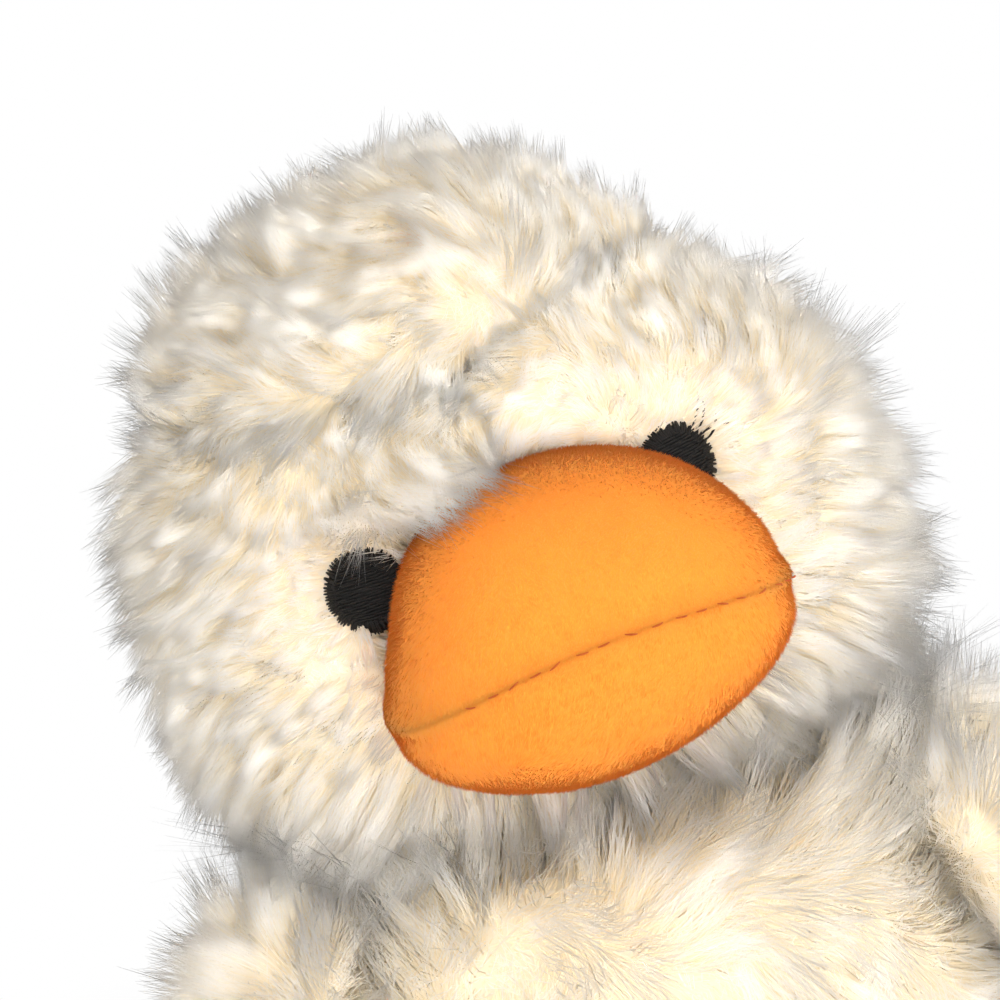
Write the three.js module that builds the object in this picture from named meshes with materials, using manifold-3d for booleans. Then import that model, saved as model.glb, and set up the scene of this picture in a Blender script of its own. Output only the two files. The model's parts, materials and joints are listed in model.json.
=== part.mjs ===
// A sitting plush duckling for dogs: pile-fabric panels sewn over fibre stuffing, a squeaker in the
// body, and a head, wings and feet that flex on their seams.
// Millimetres and degrees, +Z up. It faces -Y, and the origin is the middle of its flat seat.
import * as THREE from "three";
import { mergeVertices } from "three/addons/utils/BufferGeometryUtils.js";
import Module from "manifold-3d";

const wasm = await Module();
wasm.setup();

// Fabrics and clearances
const LONG_PILE = 8; // head and body cover, from its backing to the mean reach of the pile
const WING_PILE = 5.5; // wing and tail cover, whose pile lies flatter
const SHORT_PILE = 2.2; // bill and foot cover
const FIT_GAP = 0.3; // between pieces that lie against each other
const FLEX_GAP = 0.8; // round a seam that flexes

// Body: a plump form cut flat at the seat
const BODY_TOP = 132; // where the shoulders' curve would close above the neck
const BELLY_HEIGHT = 38;
const BELLY_HALF_WIDTH = 58;
const BELLY_HALF_DEPTH = 52;
const SEAT_SINK = 9; // how far the belly's curve would reach below the seat
const SEAT_THICKNESS = 6;
const SEAT_SEAM_HEIGHT = 10;
const SHOULDER_FULLNESS = 2.6; // 2 is an ellipse, more is squarer
const SEAT_FULLNESS = 2.6;
const SIDE_SEAM_Y = 16; // where the belly panel meets the two back panels

// Neck: a ball of stuffing under a band of cover, which the head and shoulders are cut round
const NECK_HEIGHT = 118;
const NECK_RADIUS = 27;
const NECK_BAND_HALF_HEIGHT = 12;
const NECK_THREAD_RADIUS = 0.8;
const SHOULDER_SLOPE = 10; // fall of the shoulders away from the neck
const CHIN_SLOPE = 8; // rise of the head's underside away from the neck

// Head: a plump form, widest at the cheek line
const HEAD_TILT = 7; // resting lean towards the duckling's right shoulder
const CHEEK_RISE = 26; // cheek line above the middle of the neck
const HEAD_FORWARD = 4;
const HEAD_HALF_WIDTH = 55;
const HEAD_HALF_DEPTH = 44;
const CROWN_HEIGHT = 68;
const CHIN_DEPTH = 29;
const CROWN_FULLNESS = 2.4;
const CHEEK_FULLNESS = 2.4;
const CROWN_SEAM_RISE = 45; // crown seam above the cheek line, over the middle of the head
const CROWN_SEAM_SLOPE = 2; // its rise towards the nape
const NAPE_SEAM_Y = 14;

// Eyes: embroidered discs set down in the pile
const EYE_SPACING = 54;
const EYE_RISE = 18; // above the cheek line
const EYE_DIAMETER = 13;
const EYE_DEPTH = 4.5;
const EYE_THICKNESS = 1.6;

// Bill: two panels sewn round its edge, fuller than they are long
const BILL_HALF_WIDTH = 30.5;
const BILL_HALF_HEIGHT = 24;
const BILL_HALF_LENGTH = 27;
const BILL_REACH = 75; // tip in front of the head's middle
const BILL_RISE = 6; // seam above the cheek line
const BILL_SQUARENESS = 2.3;

// Wings: flat pads that hang from the shoulder seam
const WING_LENGTH = 66; // shoulder seam to tip
const WING_ROOT_HALF_WIDTH = 21;
const WING_TIP_HALF_WIDTH = 24;
const WING_HALF_THICKNESS = 13;
const WING_HEIGHT = 103; // shoulder seam above the seat
const WING_FORWARD = 18;
const WING_STANDOFF = 7; // shoulder seam outside the body's side
const WING_SPREAD = 32; // resting angle from straight down
const WING_DROP = 12; // how far it can be pressed in from there
const WING_LIFT = 35; // how far it can be lifted from there
const WING_SQUARENESS = 2.3;

// Feet: webbed pads in front of the seat
const FOOT_LENGTH = 42; // heel seam to toes
const FOOT_HEEL_HALF_WIDTH = 12;
const FOOT_TOE_HALF_WIDTH = 24;
const FOOT_HALF_THICKNESS = 8;
const FOOT_SPACING = 48;
const FOOT_TOE_OUT = 12;
const FOOT_OVERLAP = 4; // heel seam behind the belly's front at that height
const FOOT_LIFT = 45; // how far the toes can be raised
const FOOT_SQUARENESS = 2.3;
const SOLE_FLAT = 0.5;
const TOE_ANGLE = 40; // between neighbouring toes, seen from the middle of the foot
const TOE_NOTCH = 4.5;

// Tail: a small upturned pad
const TAIL_LENGTH = 32; // from the back seam to its tip
const TAIL_ROOT_DEPTH = 24; // how far its outline would run on inside the body
const TAIL_ROOT_HALF_WIDTH = 24;
const TAIL_TIP_HALF_WIDTH = 12;
const TAIL_HALF_THICKNESS = 12;
const TAIL_HEIGHT = 32;
const TAIL_ANGLE = 32;
const TAIL_SQUARENESS = 2.1;

// Squeaker: a blown bladder with a plugged-in whistle
const SQUEAKER_RADIUS = 19;
const SQUEAKER_HALF_DEPTH = 10;
const SQUEAKER_WALL = 1.2;
const SQUEAKER_HEIGHT = 48;
const SQUEAKER_SQUARENESS = 4;
const WHISTLE_RADIUS = 6;
const WHISTLE_LENGTH = 9;
const WHISTLE_BORE_RADIUS = 2.6;
const WHISTLE_FLANGE_RADIUS = 8.5;
const WHISTLE_FLANGE_THICKNESS = 1.2;
const REED_THICKNESS = 0.4;
const REED_LENGTH = 7;

// Facets
const FORM_SIDES = 20;
const FORM_RINGS = 5; // in each of the upper and lower halves
const PAD_SIDES = 20;
const PAD_RINGS = 6;
const FOOT_SIDES = 27;
const NECK_SIDES = 24;
const NECK_RINGS = 10;
const THREAD_SIDES = 5;
const PUCK_RINGS = 3;
const ROUND_SIDES = 16;
const RELIEF_STEPS = 6; // places of a limb's travel at which it is cut clear of the body
const SLIVER = 0.01; // edges shorter than this are merged after a cut

const radians = THREE.MathUtils.degToRad;
const lerp = THREE.MathUtils.lerp;
const FAR = BODY_TOP + CROWN_HEIGHT + HEAD_HALF_WIDTH; // beyond every piece

const makeMaterial = (color, roughness, metalness = 0) =>
  new THREE.MeshStandardMaterial({ color, roughness, metalness });
const CREAM_PILE = () => makeMaterial(0xefe2ce, 0.95);
const ORANGE_PILE = () => makeMaterial(0xf7a03a, 0.9);
const BLACK_THREAD = () => makeMaterial(0x0a0908, 0.6);
const CREAM_THREAD = () => makeMaterial(0xe9dcc4, 0.7);
const FIBRE_STUFFING = () => makeMaterial(0xf4f3ef, 1);
const MILKY_PLASTIC = () => makeMaterial(0xe9ece8, 0.45);

// A closed geometry as a solid, without the collapsed triangles at its poles.
function solidOf(geometry) {
  geometry.deleteAttribute("normal");
  geometry.deleteAttribute("uv");
  const merged = mergeVertices(geometry);
  const corners = merged.index.array;
  const triVerts = [];
  for (let i = 0; i < corners.length; i += 3) {
    const [a, b, c] = corners.subarray(i, i + 3);
    if (a !== b && b !== c && c !== a) triVerts.push(a, b, c);
  }
  const vertProperties = Float32Array.from(merged.attributes.position.array);
  return new wasm.Manifold(new wasm.Mesh({ numProp: 3, vertProperties, triVerts: Uint32Array.from(triVerts) }));
}

// The named mesh of a solid, without any crumb that a cut left beside it.
function meshOf(name, solid, material) {
  const bodies = solid.simplify(SLIVER).decompose();
  const main = bodies.reduce((best, body) => (body.volume() > best.volume() ? body : best));
  const { vertProperties, triVerts } = main.getMesh();
  const geometry = new THREE.BufferGeometry();
  geometry.setAttribute("position", new THREE.BufferAttribute(Float32Array.from(vertProperties), 3));
  geometry.setIndex(new THREE.BufferAttribute(Uint32Array.from(triVerts), 1));
  geometry.computeVertexNormals();
  const mesh = new THREE.Mesh(geometry, material);
  mesh.name = name;
  return mesh;
}

// A solid of the parent frame, seen from the frame of a group placed in it.
function seenFrom(group, solid) {
  group.updateMatrix();
  return solid.transform(group.matrix.clone().invert().elements);
}

// The plump form: an oval revolve with its own fullness above and below its widest line at z = 0.
function plumpForm(shape, inset = 0) {
  const { halfWidth, halfDepth, above, below, fullAbove, fullBelow, rings = FORM_RINGS } = shape;
  const radius = halfWidth - inset;
  const profile = [];
  for (let ring = -rings; ring <= rings; ring++) {
    const angle = (Math.abs(ring) / rings) * (Math.PI / 2);
    const power = 2 / (ring < 0 ? fullBelow : fullAbove);
    const height = ring < 0 ? -(below - inset) : above - inset;
    const across = Math.abs(ring) === rings ? 0 : Math.cos(angle) ** power;
    profile.push(new THREE.Vector2(radius * across, height * Math.sin(angle) ** power));
  }
  const geometry = new THREE.LatheGeometry(profile, FORM_SIDES).rotateX(Math.PI / 2);
  return solidOf(geometry.scale(1, (halfDepth - inset) / radius, 1));
}

// Two panels sewn round an outline and stuffed: +X is the pad's length, +Z its thickness.
function sewnPad({ radiusAt, halfThickness, sides = PAD_SIDES }, inset = 0) {
  const geometry = new THREE.SphereGeometry(1, sides, PAD_RINGS).rotateX(Math.PI / 2);
  const position = geometry.attributes.position;
  for (let i = 0; i < position.count; i++) {
    const angle = Math.atan2(position.getY(i), position.getX(i));
    const radius = radiusAt(angle) - inset;
    position.setXYZ(
      i,
      position.getX(i) * radius,
      position.getY(i) * radius,
      position.getZ(i) * (halfThickness - inset),
    );
  }
  return solidOf(geometry);
}

// An egg-shaped outline: its half width runs from the root's at -X to the tip's at +X.
function eggOutline({ halfLength, rootHalfWidth, tipHalfWidth, squareness }) {
  return (angle) => {
    const halfWidth = lerp(rootHalfWidth, tipHalfWidth, (1 + Math.cos(angle)) / 2);
    const along = Math.abs(Math.cos(angle) / halfLength) ** squareness;
    const across = Math.abs(Math.sin(angle) / halfWidth) ** squareness;
    return (along + across) ** (-1 / squareness);
  };
}

// The cover and stuffing of a pad, split at its seam: the cover's upper and lower panels, and the fill.
function sewnPieces(padAt, pile) {
  const cover = padAt(0).subtract(padAt(pile));
  return {
    upper: cover.trimByPlane([0, 0, 1], FIT_GAP / 2),
    lower: cover.trimByPlane([0, 0, -1], FIT_GAP / 2),
    stuffing: padAt(pile + FIT_GAP),
  };
}

const upright = (geometry) => solidOf(geometry.rotateX(Math.PI / 2));
const ball = (radius) => upright(new THREE.SphereGeometry(radius, NECK_SIDES, NECK_RINGS));
const rod = (radius, length) => solidOf(new THREE.CylinderGeometry(radius, radius, length, ROUND_SIDES));

// Everything on one side of a cone about the neck that falls away by this slope: the side above or below it.
function neckCone(slope, aboveIt) {
  const edge = new THREE.Vector2(FAR, -FAR * Math.tan(radians(slope)));
  const pole = new THREE.Vector2(0, aboveIt ? FAR : -FAR);
  const corner = new THREE.Vector2(FAR, pole.y);
  const apex = new THREE.Vector2(0, 0);
  const profile = aboveIt ? [apex, edge, corner, pole] : [pole, corner, edge, apex];
  return upright(new THREE.LatheGeometry(profile, NECK_SIDES));
}

// Frames: the neck's middle, and the head that leans on it
const toy = new THREE.Group();
const neck = new THREE.Group();
neck.position.z = NECK_HEIGHT;
const head = new THREE.Group();
head.rotation.y = radians(-HEAD_TILT);
neck.add(head);
toy.add(neck);

// Body form
const bodyShape = {
  halfWidth: BELLY_HALF_WIDTH,
  halfDepth: BELLY_HALF_DEPTH,
  above: BODY_TOP - BELLY_HEIGHT,
  below: BELLY_HEIGHT + SEAT_SINK,
  fullAbove: SHOULDER_FULLNESS,
  fullBelow: SEAT_FULLNESS,
};
const bodyForm = (inset) => plumpForm(bodyShape, inset).translate([0, 0, BELLY_HEIGHT]);

// The body's half width and half depth at a height
function bodyReachAt(height, halfReach) {
  const rise = height - BELLY_HEIGHT;
  const fullness = rise > 0 ? SHOULDER_FULLNESS : SEAT_FULLNESS;
  const share = Math.abs(rise) / (rise > 0 ? bodyShape.above : bodyShape.below);
  return halfReach * (1 - share ** fullness) ** (1 / fullness);
}

// The body's half width at a height, some way in front of its middle
function bodySideAt(height, forward) {
  const depth = bodyReachAt(height, BELLY_HALF_DEPTH);
  return bodyReachAt(height, BELLY_HALF_WIDTH) * Math.sqrt(1 - (forward / depth) ** 2);
}

// A solid of revolution about a hinge of the given length, which clears the rounded root of a limb
const hingeClearance = (rootRadius, halfWidth, gap = FLEX_GAP) => rod(rootRadius + gap, 2 * (halfWidth + gap));

// Wings
function wingFrame(side, drop = 0) {
  const frame = new THREE.Group();
  frame.position.set(
    side * (bodySideAt(WING_HEIGHT, WING_FORWARD) + WING_STANDOFF),
    -WING_FORWARD,
    WING_HEIGHT,
  );
  frame.rotation.y = Math.PI / 2 - side * radians(WING_SPREAD - drop);
  return frame;
}

const wingHalfLength = (WING_LENGTH + WING_HALF_THICKNESS) / 2;
const wingOutline = eggOutline({
  halfLength: wingHalfLength,
  rootHalfWidth: WING_ROOT_HALF_WIDTH,
  tipHalfWidth: WING_TIP_HALF_WIDTH,
  squareness: WING_SQUARENESS,
});
const wingForm = (inset) =>
  sewnPad({ radiusAt: wingOutline, halfThickness: WING_HALF_THICKNESS }, inset)
    .translate([WING_LENGTH - wingHalfLength, 0, 0]);
const wingRoot = hingeClearance(WING_HALF_THICKNESS, WING_ROOT_HALF_WIDTH);
const wingCore = hingeClearance(WING_HALF_THICKNESS, WING_ROOT_HALF_WIDTH, FLEX_GAP / 2);

// The body's side as a limb meets it from rest to the end of its travel, away from its hinge
function reliefOf(frameAt, travel, root) {
  const body = bodyForm(-FLEX_GAP).subtract(root);
  let relief = seenFrom(frameAt(0), body);
  for (let step = 1; step <= RELIEF_STEPS; step++) {
    relief = relief.add(seenFrom(frameAt((travel * step) / RELIEF_STEPS), body));
  }
  return relief;
}

function rootInBody(frame, root) {
  frame.updateMatrix();
  return root.transform(frame.matrix.elements);
}

function buildWing(side, name) {
  const frame = wingFrame(side);
  const root = rootInBody(frame, wingRoot);
  const core = rootInBody(frame, wingCore);
  const pressed = reliefOf((drop) => wingFrame(side, drop), WING_DROP, core);
  const lifted = reliefOf((lift) => wingFrame(side, -lift), WING_LIFT, core);
  const relief = pressed.add(lifted);
  const { upper, lower, stuffing } = sewnPieces(wingForm, WING_PILE);
  const [outer, inner] = side > 0 ? [upper, lower] : [lower, upper];
  frame.add(
    meshOf(`${name}_wing_outer_panel`, outer.subtract(relief), CREAM_PILE()),
    meshOf(`${name}_wing_inner_panel`, inner.subtract(relief), CREAM_PILE()),
    meshOf(`${name}_wing_stuffing`, stuffing.subtract(relief), FIBRE_STUFFING()),
  );
  toy.add(frame);
  return root;
}

// Feet
const soleDrop = FOOT_HALF_THICKNESS - SOLE_FLAT;
function footFrame(side, lift = 0) {
  const frame = new THREE.Group();
  const height = soleDrop + FIT_GAP;
  frame.position.set(side * (FOOT_SPACING / 2), FOOT_OVERLAP - bodyReachAt(height, BELLY_HALF_DEPTH), height);
  frame.rotation.set(0, -radians(lift), -Math.PI / 2 + side * radians(FOOT_TOE_OUT), "ZYX");
  return frame;
}

const footHalfLength = (FOOT_LENGTH + FOOT_HALF_THICKNESS) / 2;
const footEgg = eggOutline({
  halfLength: footHalfLength,
  rootHalfWidth: FOOT_HEEL_HALF_WIDTH,
  tipHalfWidth: FOOT_TOE_HALF_WIDTH,
  squareness: FOOT_SQUARENESS,
});

// Three toes: the web between them is drawn in by the notch
function footOutline(angle) {
  const toe = radians(TOE_ANGLE);
  const web = Math.abs(angle) < toe ? (1 - Math.cos((2 * Math.PI * angle) / toe)) / 2 : 0;
  return footEgg(angle) - TOE_NOTCH * web;
}
const footForm = (inset) =>
  sewnPad({ radiusAt: footOutline, halfThickness: FOOT_HALF_THICKNESS, sides: FOOT_SIDES }, inset)
    .translate([FOOT_LENGTH - footHalfLength, 0, 0])
    .trimByPlane([0, 0, 1], inset - soleDrop);
const footRoot = hingeClearance(FOOT_HALF_THICKNESS, FOOT_HEEL_HALF_WIDTH);

function buildFoot(side, name) {
  const frame = footFrame(side);
  const root = rootInBody(frame, footRoot);
  const relief = reliefOf((lift) => footFrame(side, lift), FOOT_LIFT, root);
  const { upper, lower, stuffing } = sewnPieces(footForm, SHORT_PILE);
  frame.add(
    meshOf(`${name}_foot_top_panel`, upper.subtract(relief), ORANGE_PILE()),
    meshOf(`${name}_foot_sole_panel`, lower.subtract(relief), ORANGE_PILE()),
    meshOf(`${name}_foot_stuffing`, stuffing.subtract(relief), FIBRE_STUFFING()),
  );
  toy.add(frame);
  return root;
}

// Tail
function buildTail() {
  const frame = new THREE.Group();
  frame.position.set(0, bodyReachAt(TAIL_HEIGHT, BELLY_HALF_DEPTH), TAIL_HEIGHT);
  frame.rotation.set(radians(TAIL_ANGLE), 0, Math.PI / 2);
  const halfLength = (TAIL_LENGTH + TAIL_ROOT_DEPTH) / 2;
  const outline = eggOutline({
    halfLength,
    rootHalfWidth: TAIL_ROOT_HALF_WIDTH,
    tipHalfWidth: TAIL_TIP_HALF_WIDTH,
    squareness: TAIL_SQUARENESS,
  });
  const tailForm = (inset) =>
    sewnPad({ radiusAt: outline, halfThickness: TAIL_HALF_THICKNESS }, inset)
      .translate([TAIL_LENGTH - halfLength, 0, 0]);
  const body = seenFrom(frame, bodyForm(-FIT_GAP));
  const { upper, lower, stuffing } = sewnPieces(tailForm, WING_PILE);
  frame.add(
    meshOf("tail_upper_panel", upper.subtract(body), CREAM_PILE()),
    meshOf("tail_lower_panel", lower.subtract(body), CREAM_PILE()),
    meshOf("tail_stuffing", stuffing.subtract(body), FIBRE_STUFFING()),
  );
  toy.add(frame);
}

// Squeaker, its axis along Y and its whistle to the front
function buildSqueaker() {
  const puck = {
    halfWidth: SQUEAKER_RADIUS,
    halfDepth: SQUEAKER_RADIUS,
    above: SQUEAKER_HALF_DEPTH,
    below: SQUEAKER_HALF_DEPTH,
    fullAbove: SQUEAKER_SQUARENESS,
    fullBelow: SQUEAKER_SQUARENESS,
    rings: PUCK_RINGS,
  };
  const puckForm = (inset) => plumpForm(puck, inset).rotate([90, 0, 0]);
  const mouth = rod(WHISTLE_RADIUS + FIT_GAP, SQUEAKER_HALF_DEPTH).translate([0, -SQUEAKER_HALF_DEPTH, 0]);
  const flangeBack = -SQUEAKER_HALF_DEPTH - FIT_GAP;
  const flangeFront = flangeBack - WHISTLE_FLANGE_THICKNESS;
  const flange = rod(WHISTLE_FLANGE_RADIUS, WHISTLE_FLANGE_THICKNESS)
    .translate([0, (flangeBack + flangeFront) / 2, 0]);
  const tubeMiddle = flangeFront + WHISTLE_LENGTH / 2;
  const tube = rod(WHISTLE_RADIUS, WHISTLE_LENGTH).translate([0, tubeMiddle, 0]);
  const bore = rod(WHISTLE_BORE_RADIUS, 2 * WHISTLE_LENGTH).translate([0, tubeMiddle, 0]);
  const reedWidth = 2 * (WHISTLE_BORE_RADIUS - FIT_GAP) - REED_THICKNESS;
  const reed = solidOf(new THREE.BoxGeometry(reedWidth, REED_LENGTH, REED_THICKNESS))
    .translate([0, tubeMiddle, 0]);
  const frame = new THREE.Group();
  frame.position.z = SQUEAKER_HEIGHT;
  frame.add(
    meshOf("squeaker_bladder", puckForm(0).subtract(puckForm(SQUEAKER_WALL)).subtract(mouth), MILKY_PLASTIC()),
    meshOf("squeaker_whistle", tube.add(flange).subtract(bore), MILKY_PLASTIC()),
    meshOf("squeaker_reed", reed, MILKY_PLASTIC()),
  );
  toy.add(frame);
  const flangeRoom = rod(WHISTLE_FLANGE_RADIUS + FIT_GAP, 2 * (WHISTLE_FLANGE_THICKNESS + FIT_GAP))
    .translate([0, flangeBack, 0]);
  return puckForm(-FIT_GAP).add(flangeRoom).translate([0, 0, SQUEAKER_HEIGHT]);
}

// Body: belly panel, two back panels, seat panel, and stuffing packed round the squeaker in two halves
function buildBody(roots, squeakerRoom) {
  const toNeck = [0, 0, NECK_HEIGHT];
  const clear = (solid) =>
    [ball(NECK_RADIUS + FLEX_GAP).translate(toNeck), neckCone(SHOULDER_SLOPE, true).translate(toNeck), ...roots]
      .reduce((rest, cutter) => rest.subtract(cutter), solid);
  const outer = bodyForm(0).trimByPlane([0, 0, 1], 0);
  const inner = bodyForm(LONG_PILE).trimByPlane([0, 0, 1], SEAT_THICKNESS);
  const cover = clear(outer.subtract(inner));
  const seat = cover.trimByPlane([0, 0, -1], -SEAT_SEAM_HEIGHT);
  const sides = cover.trimByPlane([0, 0, 1], SEAT_SEAM_HEIGHT + FIT_GAP);
  const back = sides.trimByPlane([0, 1, 0], SIDE_SEAM_Y + FIT_GAP);
  const stuffing = clear(bodyForm(LONG_PILE + FIT_GAP).trimByPlane([0, 0, 1], SEAT_THICKNESS + FIT_GAP))
    .subtract(squeakerRoom);
  toy.add(
    meshOf("belly_panel", sides.trimByPlane([0, -1, 0], -SIDE_SEAM_Y), CREAM_PILE()),
    meshOf("left_back_panel", back.trimByPlane([1, 0, 0], FIT_GAP / 2), CREAM_PILE()),
    meshOf("right_back_panel", back.trimByPlane([-1, 0, 0], FIT_GAP / 2), CREAM_PILE()),
    meshOf("seat_panel", seat, CREAM_PILE()),
    meshOf("front_body_stuffing", stuffing.trimByPlane([0, -1, 0], FIT_GAP / 2), FIBRE_STUFFING()),
    meshOf("rear_body_stuffing", stuffing.trimByPlane([0, 1, 0], FIT_GAP / 2), FIBRE_STUFFING()),
  );
}

// Neck: a cover band round a plug of stuffing, with the gathering thread in a groove of the band
function buildNeck() {
  const bandInside = NECK_RADIUS - LONG_PILE;
  const threadReach = NECK_RADIUS - FIT_GAP;
  const threadMiddle = threadReach - NECK_THREAD_RADIUS;
  const grooveHeight = 2 * (NECK_THREAD_RADIUS + FIT_GAP);
  const disc = (radius) => upright(new THREE.CylinderGeometry(radius, radius, grooveHeight, NECK_SIDES));
  const groove = disc(FAR).subtract(disc(threadMiddle - NECK_THREAD_RADIUS - FIT_GAP));
  const band = ball(NECK_RADIUS)
    .subtract(ball(bandInside))
    .trimByPlane([0, 0, 1], -NECK_BAND_HALF_HEIGHT)
    .trimByPlane([0, 0, -1], -NECK_BAND_HALF_HEIGHT);
  const capAbove = ball(NECK_RADIUS).trimByPlane([0, 0, 1], NECK_BAND_HALF_HEIGHT + FIT_GAP);
  const capBelow = ball(NECK_RADIUS).trimByPlane([0, 0, -1], NECK_BAND_HALF_HEIGHT + FIT_GAP);
  const plug = ball(bandInside - FIT_GAP).add(capAbove).add(capBelow);
  const thread = solidOf(new THREE.TorusGeometry(threadMiddle, NECK_THREAD_RADIUS, THREAD_SIDES, NECK_SIDES));
  neck.add(
    meshOf("neck_panel", band.subtract(groove), CREAM_PILE()),
    meshOf("neck_stuffing", plug, FIBRE_STUFFING()),
    meshOf("neck_thread", thread, CREAM_THREAD()),
  );
}

// Head form, in the head's frame, whose origin is the middle of the neck
const headShape = {
  halfWidth: HEAD_HALF_WIDTH,
  halfDepth: HEAD_HALF_DEPTH,
  above: CROWN_HEIGHT,
  below: CHIN_DEPTH,
  fullAbove: CROWN_FULLNESS,
  fullBelow: CHEEK_FULLNESS,
};
const headForm = (inset) => plumpForm(headShape, inset).translate([0, -HEAD_FORWARD, CHEEK_RISE]);

// Where an eye sits on the head's front, and which way it faces
function eyeSeat(side) {
  const across = side * (EYE_SPACING / 2);
  const depthShare = HEAD_HALF_DEPTH / HEAD_HALF_WIDTH;
  const rise = (EYE_RISE / CROWN_HEIGHT) ** CROWN_FULLNESS;
  const reach = HEAD_HALF_WIDTH * (1 - rise) ** (1 / CROWN_FULLNESS);
  const front = -Math.sqrt(reach ** 2 - across ** 2);
  const slope = (reach ** (CROWN_FULLNESS - 2)) / HEAD_HALF_WIDTH ** CROWN_FULLNESS;
  return {
    place: new THREE.Vector3(across, front * depthShare - HEAD_FORWARD, EYE_RISE + CHEEK_RISE),
    facing: new THREE.Vector3(across * slope, (front * slope) / depthShare, rise / EYE_RISE).normalize(),
  };
}

// A disc through the head's front at the eye, wide enough for the eye and its clearance
function eyeCutter(side, clearance) {
  const { place, facing } = eyeSeat(side);
  const frame = new THREE.Group();
  frame.position.copy(place);
  frame.quaternion.setFromUnitVectors(new THREE.Vector3(0, 1, 0), facing);
  frame.updateMatrix();
  return rod(EYE_DIAMETER / 2 + clearance, 2 * LONG_PILE).transform(frame.matrix.elements);
}

// Head: crown, two cheeks and nape over one stuffing, with the eyes let into the cheeks
function buildHead() {
  const clear = (solid) => solid.subtract(ball(NECK_RADIUS + FLEX_GAP)).subtract(neckCone(-CHIN_SLOPE, false));
  const cover = clear(headForm(0).subtract(headForm(LONG_PILE)));
  const seam = new THREE.Vector3(0, -Math.sin(radians(CROWN_SEAM_SLOPE)), Math.cos(radians(CROWN_SEAM_SLOPE)));
  const seamPoint = new THREE.Vector3(0, -HEAD_FORWARD, CHEEK_RISE + CROWN_SEAM_RISE);
  const seamOffset = seam.dot(seamPoint);
  const lower = cover.trimByPlane(seam.clone().negate().toArray(), -seamOffset);
  const eyeFloor = EYE_DEPTH + EYE_THICKNESS;
  const pocket = (side) => eyeCutter(side, FIT_GAP).subtract(headForm(eyeFloor + FIT_GAP));
  const eyeLayer = headForm(EYE_DEPTH).subtract(headForm(eyeFloor));
  const cheeks = lower.trimByPlane([0, -1, 0], -NAPE_SEAM_Y).subtract(pocket(1)).subtract(pocket(-1));
  head.add(
    meshOf("crown_panel", cover.trimByPlane(seam.toArray(), seamOffset + FIT_GAP), CREAM_PILE()),
    meshOf("left_cheek_panel", cheeks.trimByPlane([1, 0, 0], FIT_GAP / 2), CREAM_PILE()),
    meshOf("right_cheek_panel", cheeks.trimByPlane([-1, 0, 0], FIT_GAP / 2), CREAM_PILE()),
    meshOf("nape_panel", lower.trimByPlane([0, 1, 0], NAPE_SEAM_Y + FIT_GAP), CREAM_PILE()),
    meshOf("head_stuffing", clear(headForm(LONG_PILE + FIT_GAP)), FIBRE_STUFFING()),
    meshOf("left_eye", eyeLayer.intersect(eyeCutter(1, 0)), BLACK_THREAD()),
    meshOf("right_eye", eyeLayer.intersect(eyeCutter(-1, 0)), BLACK_THREAD()),
  );
}

// Bill, sewn to the face across the seam between the cheeks
function buildBill() {
  const frame = new THREE.Group();
  frame.position.set(0, -HEAD_FORWARD, CHEEK_RISE + BILL_RISE);
  frame.rotation.z = -Math.PI / 2;
  const outline = eggOutline({
    halfLength: BILL_HALF_LENGTH,
    rootHalfWidth: BILL_HALF_WIDTH,
    tipHalfWidth: BILL_HALF_WIDTH,
    squareness: BILL_SQUARENESS,
  });
  const billForm = (inset) =>
    sewnPad({ radiusAt: outline, halfThickness: BILL_HALF_HEIGHT }, inset)
      .translate([BILL_REACH - BILL_HALF_LENGTH, 0, 0]);
  const face = seenFrom(frame, headForm(-FIT_GAP));
  const { upper, lower, stuffing } = sewnPieces(billForm, SHORT_PILE);
  frame.add(
    meshOf("bill_upper_panel", upper.subtract(face), ORANGE_PILE()),
    meshOf("bill_lower_panel", lower.subtract(face), ORANGE_PILE()),
    meshOf("bill_stuffing", stuffing.subtract(face), FIBRE_STUFFING()),
  );
  head.add(frame);
}

buildNeck();
buildHead();
buildBill();
const roots = [
  buildWing(1, "left"),
  buildWing(-1, "right"),
  buildFoot(1, "left"),
  buildFoot(-1, "right"),
];
buildTail();
buildBody(roots, buildSqueaker());

export default toy;
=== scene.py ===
"""Dresses a sitting plush duckling: long cream pile, orange bill and feet, stitched eyes, fibre filling.

Metres, +Z up, facing -Y, with the origin in the middle of the flat seat, as in the frame.
"""
import json
import logging
import math
from dataclasses import asdict, dataclass, field, fields, replace
from enum import Enum
from functools import cache
from typing import Any, Callable, Dict, List, Optional, Sequence, Tuple

import bmesh
import bpy
import numpy as np
from mathutils import Matrix, Vector, noise

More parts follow.
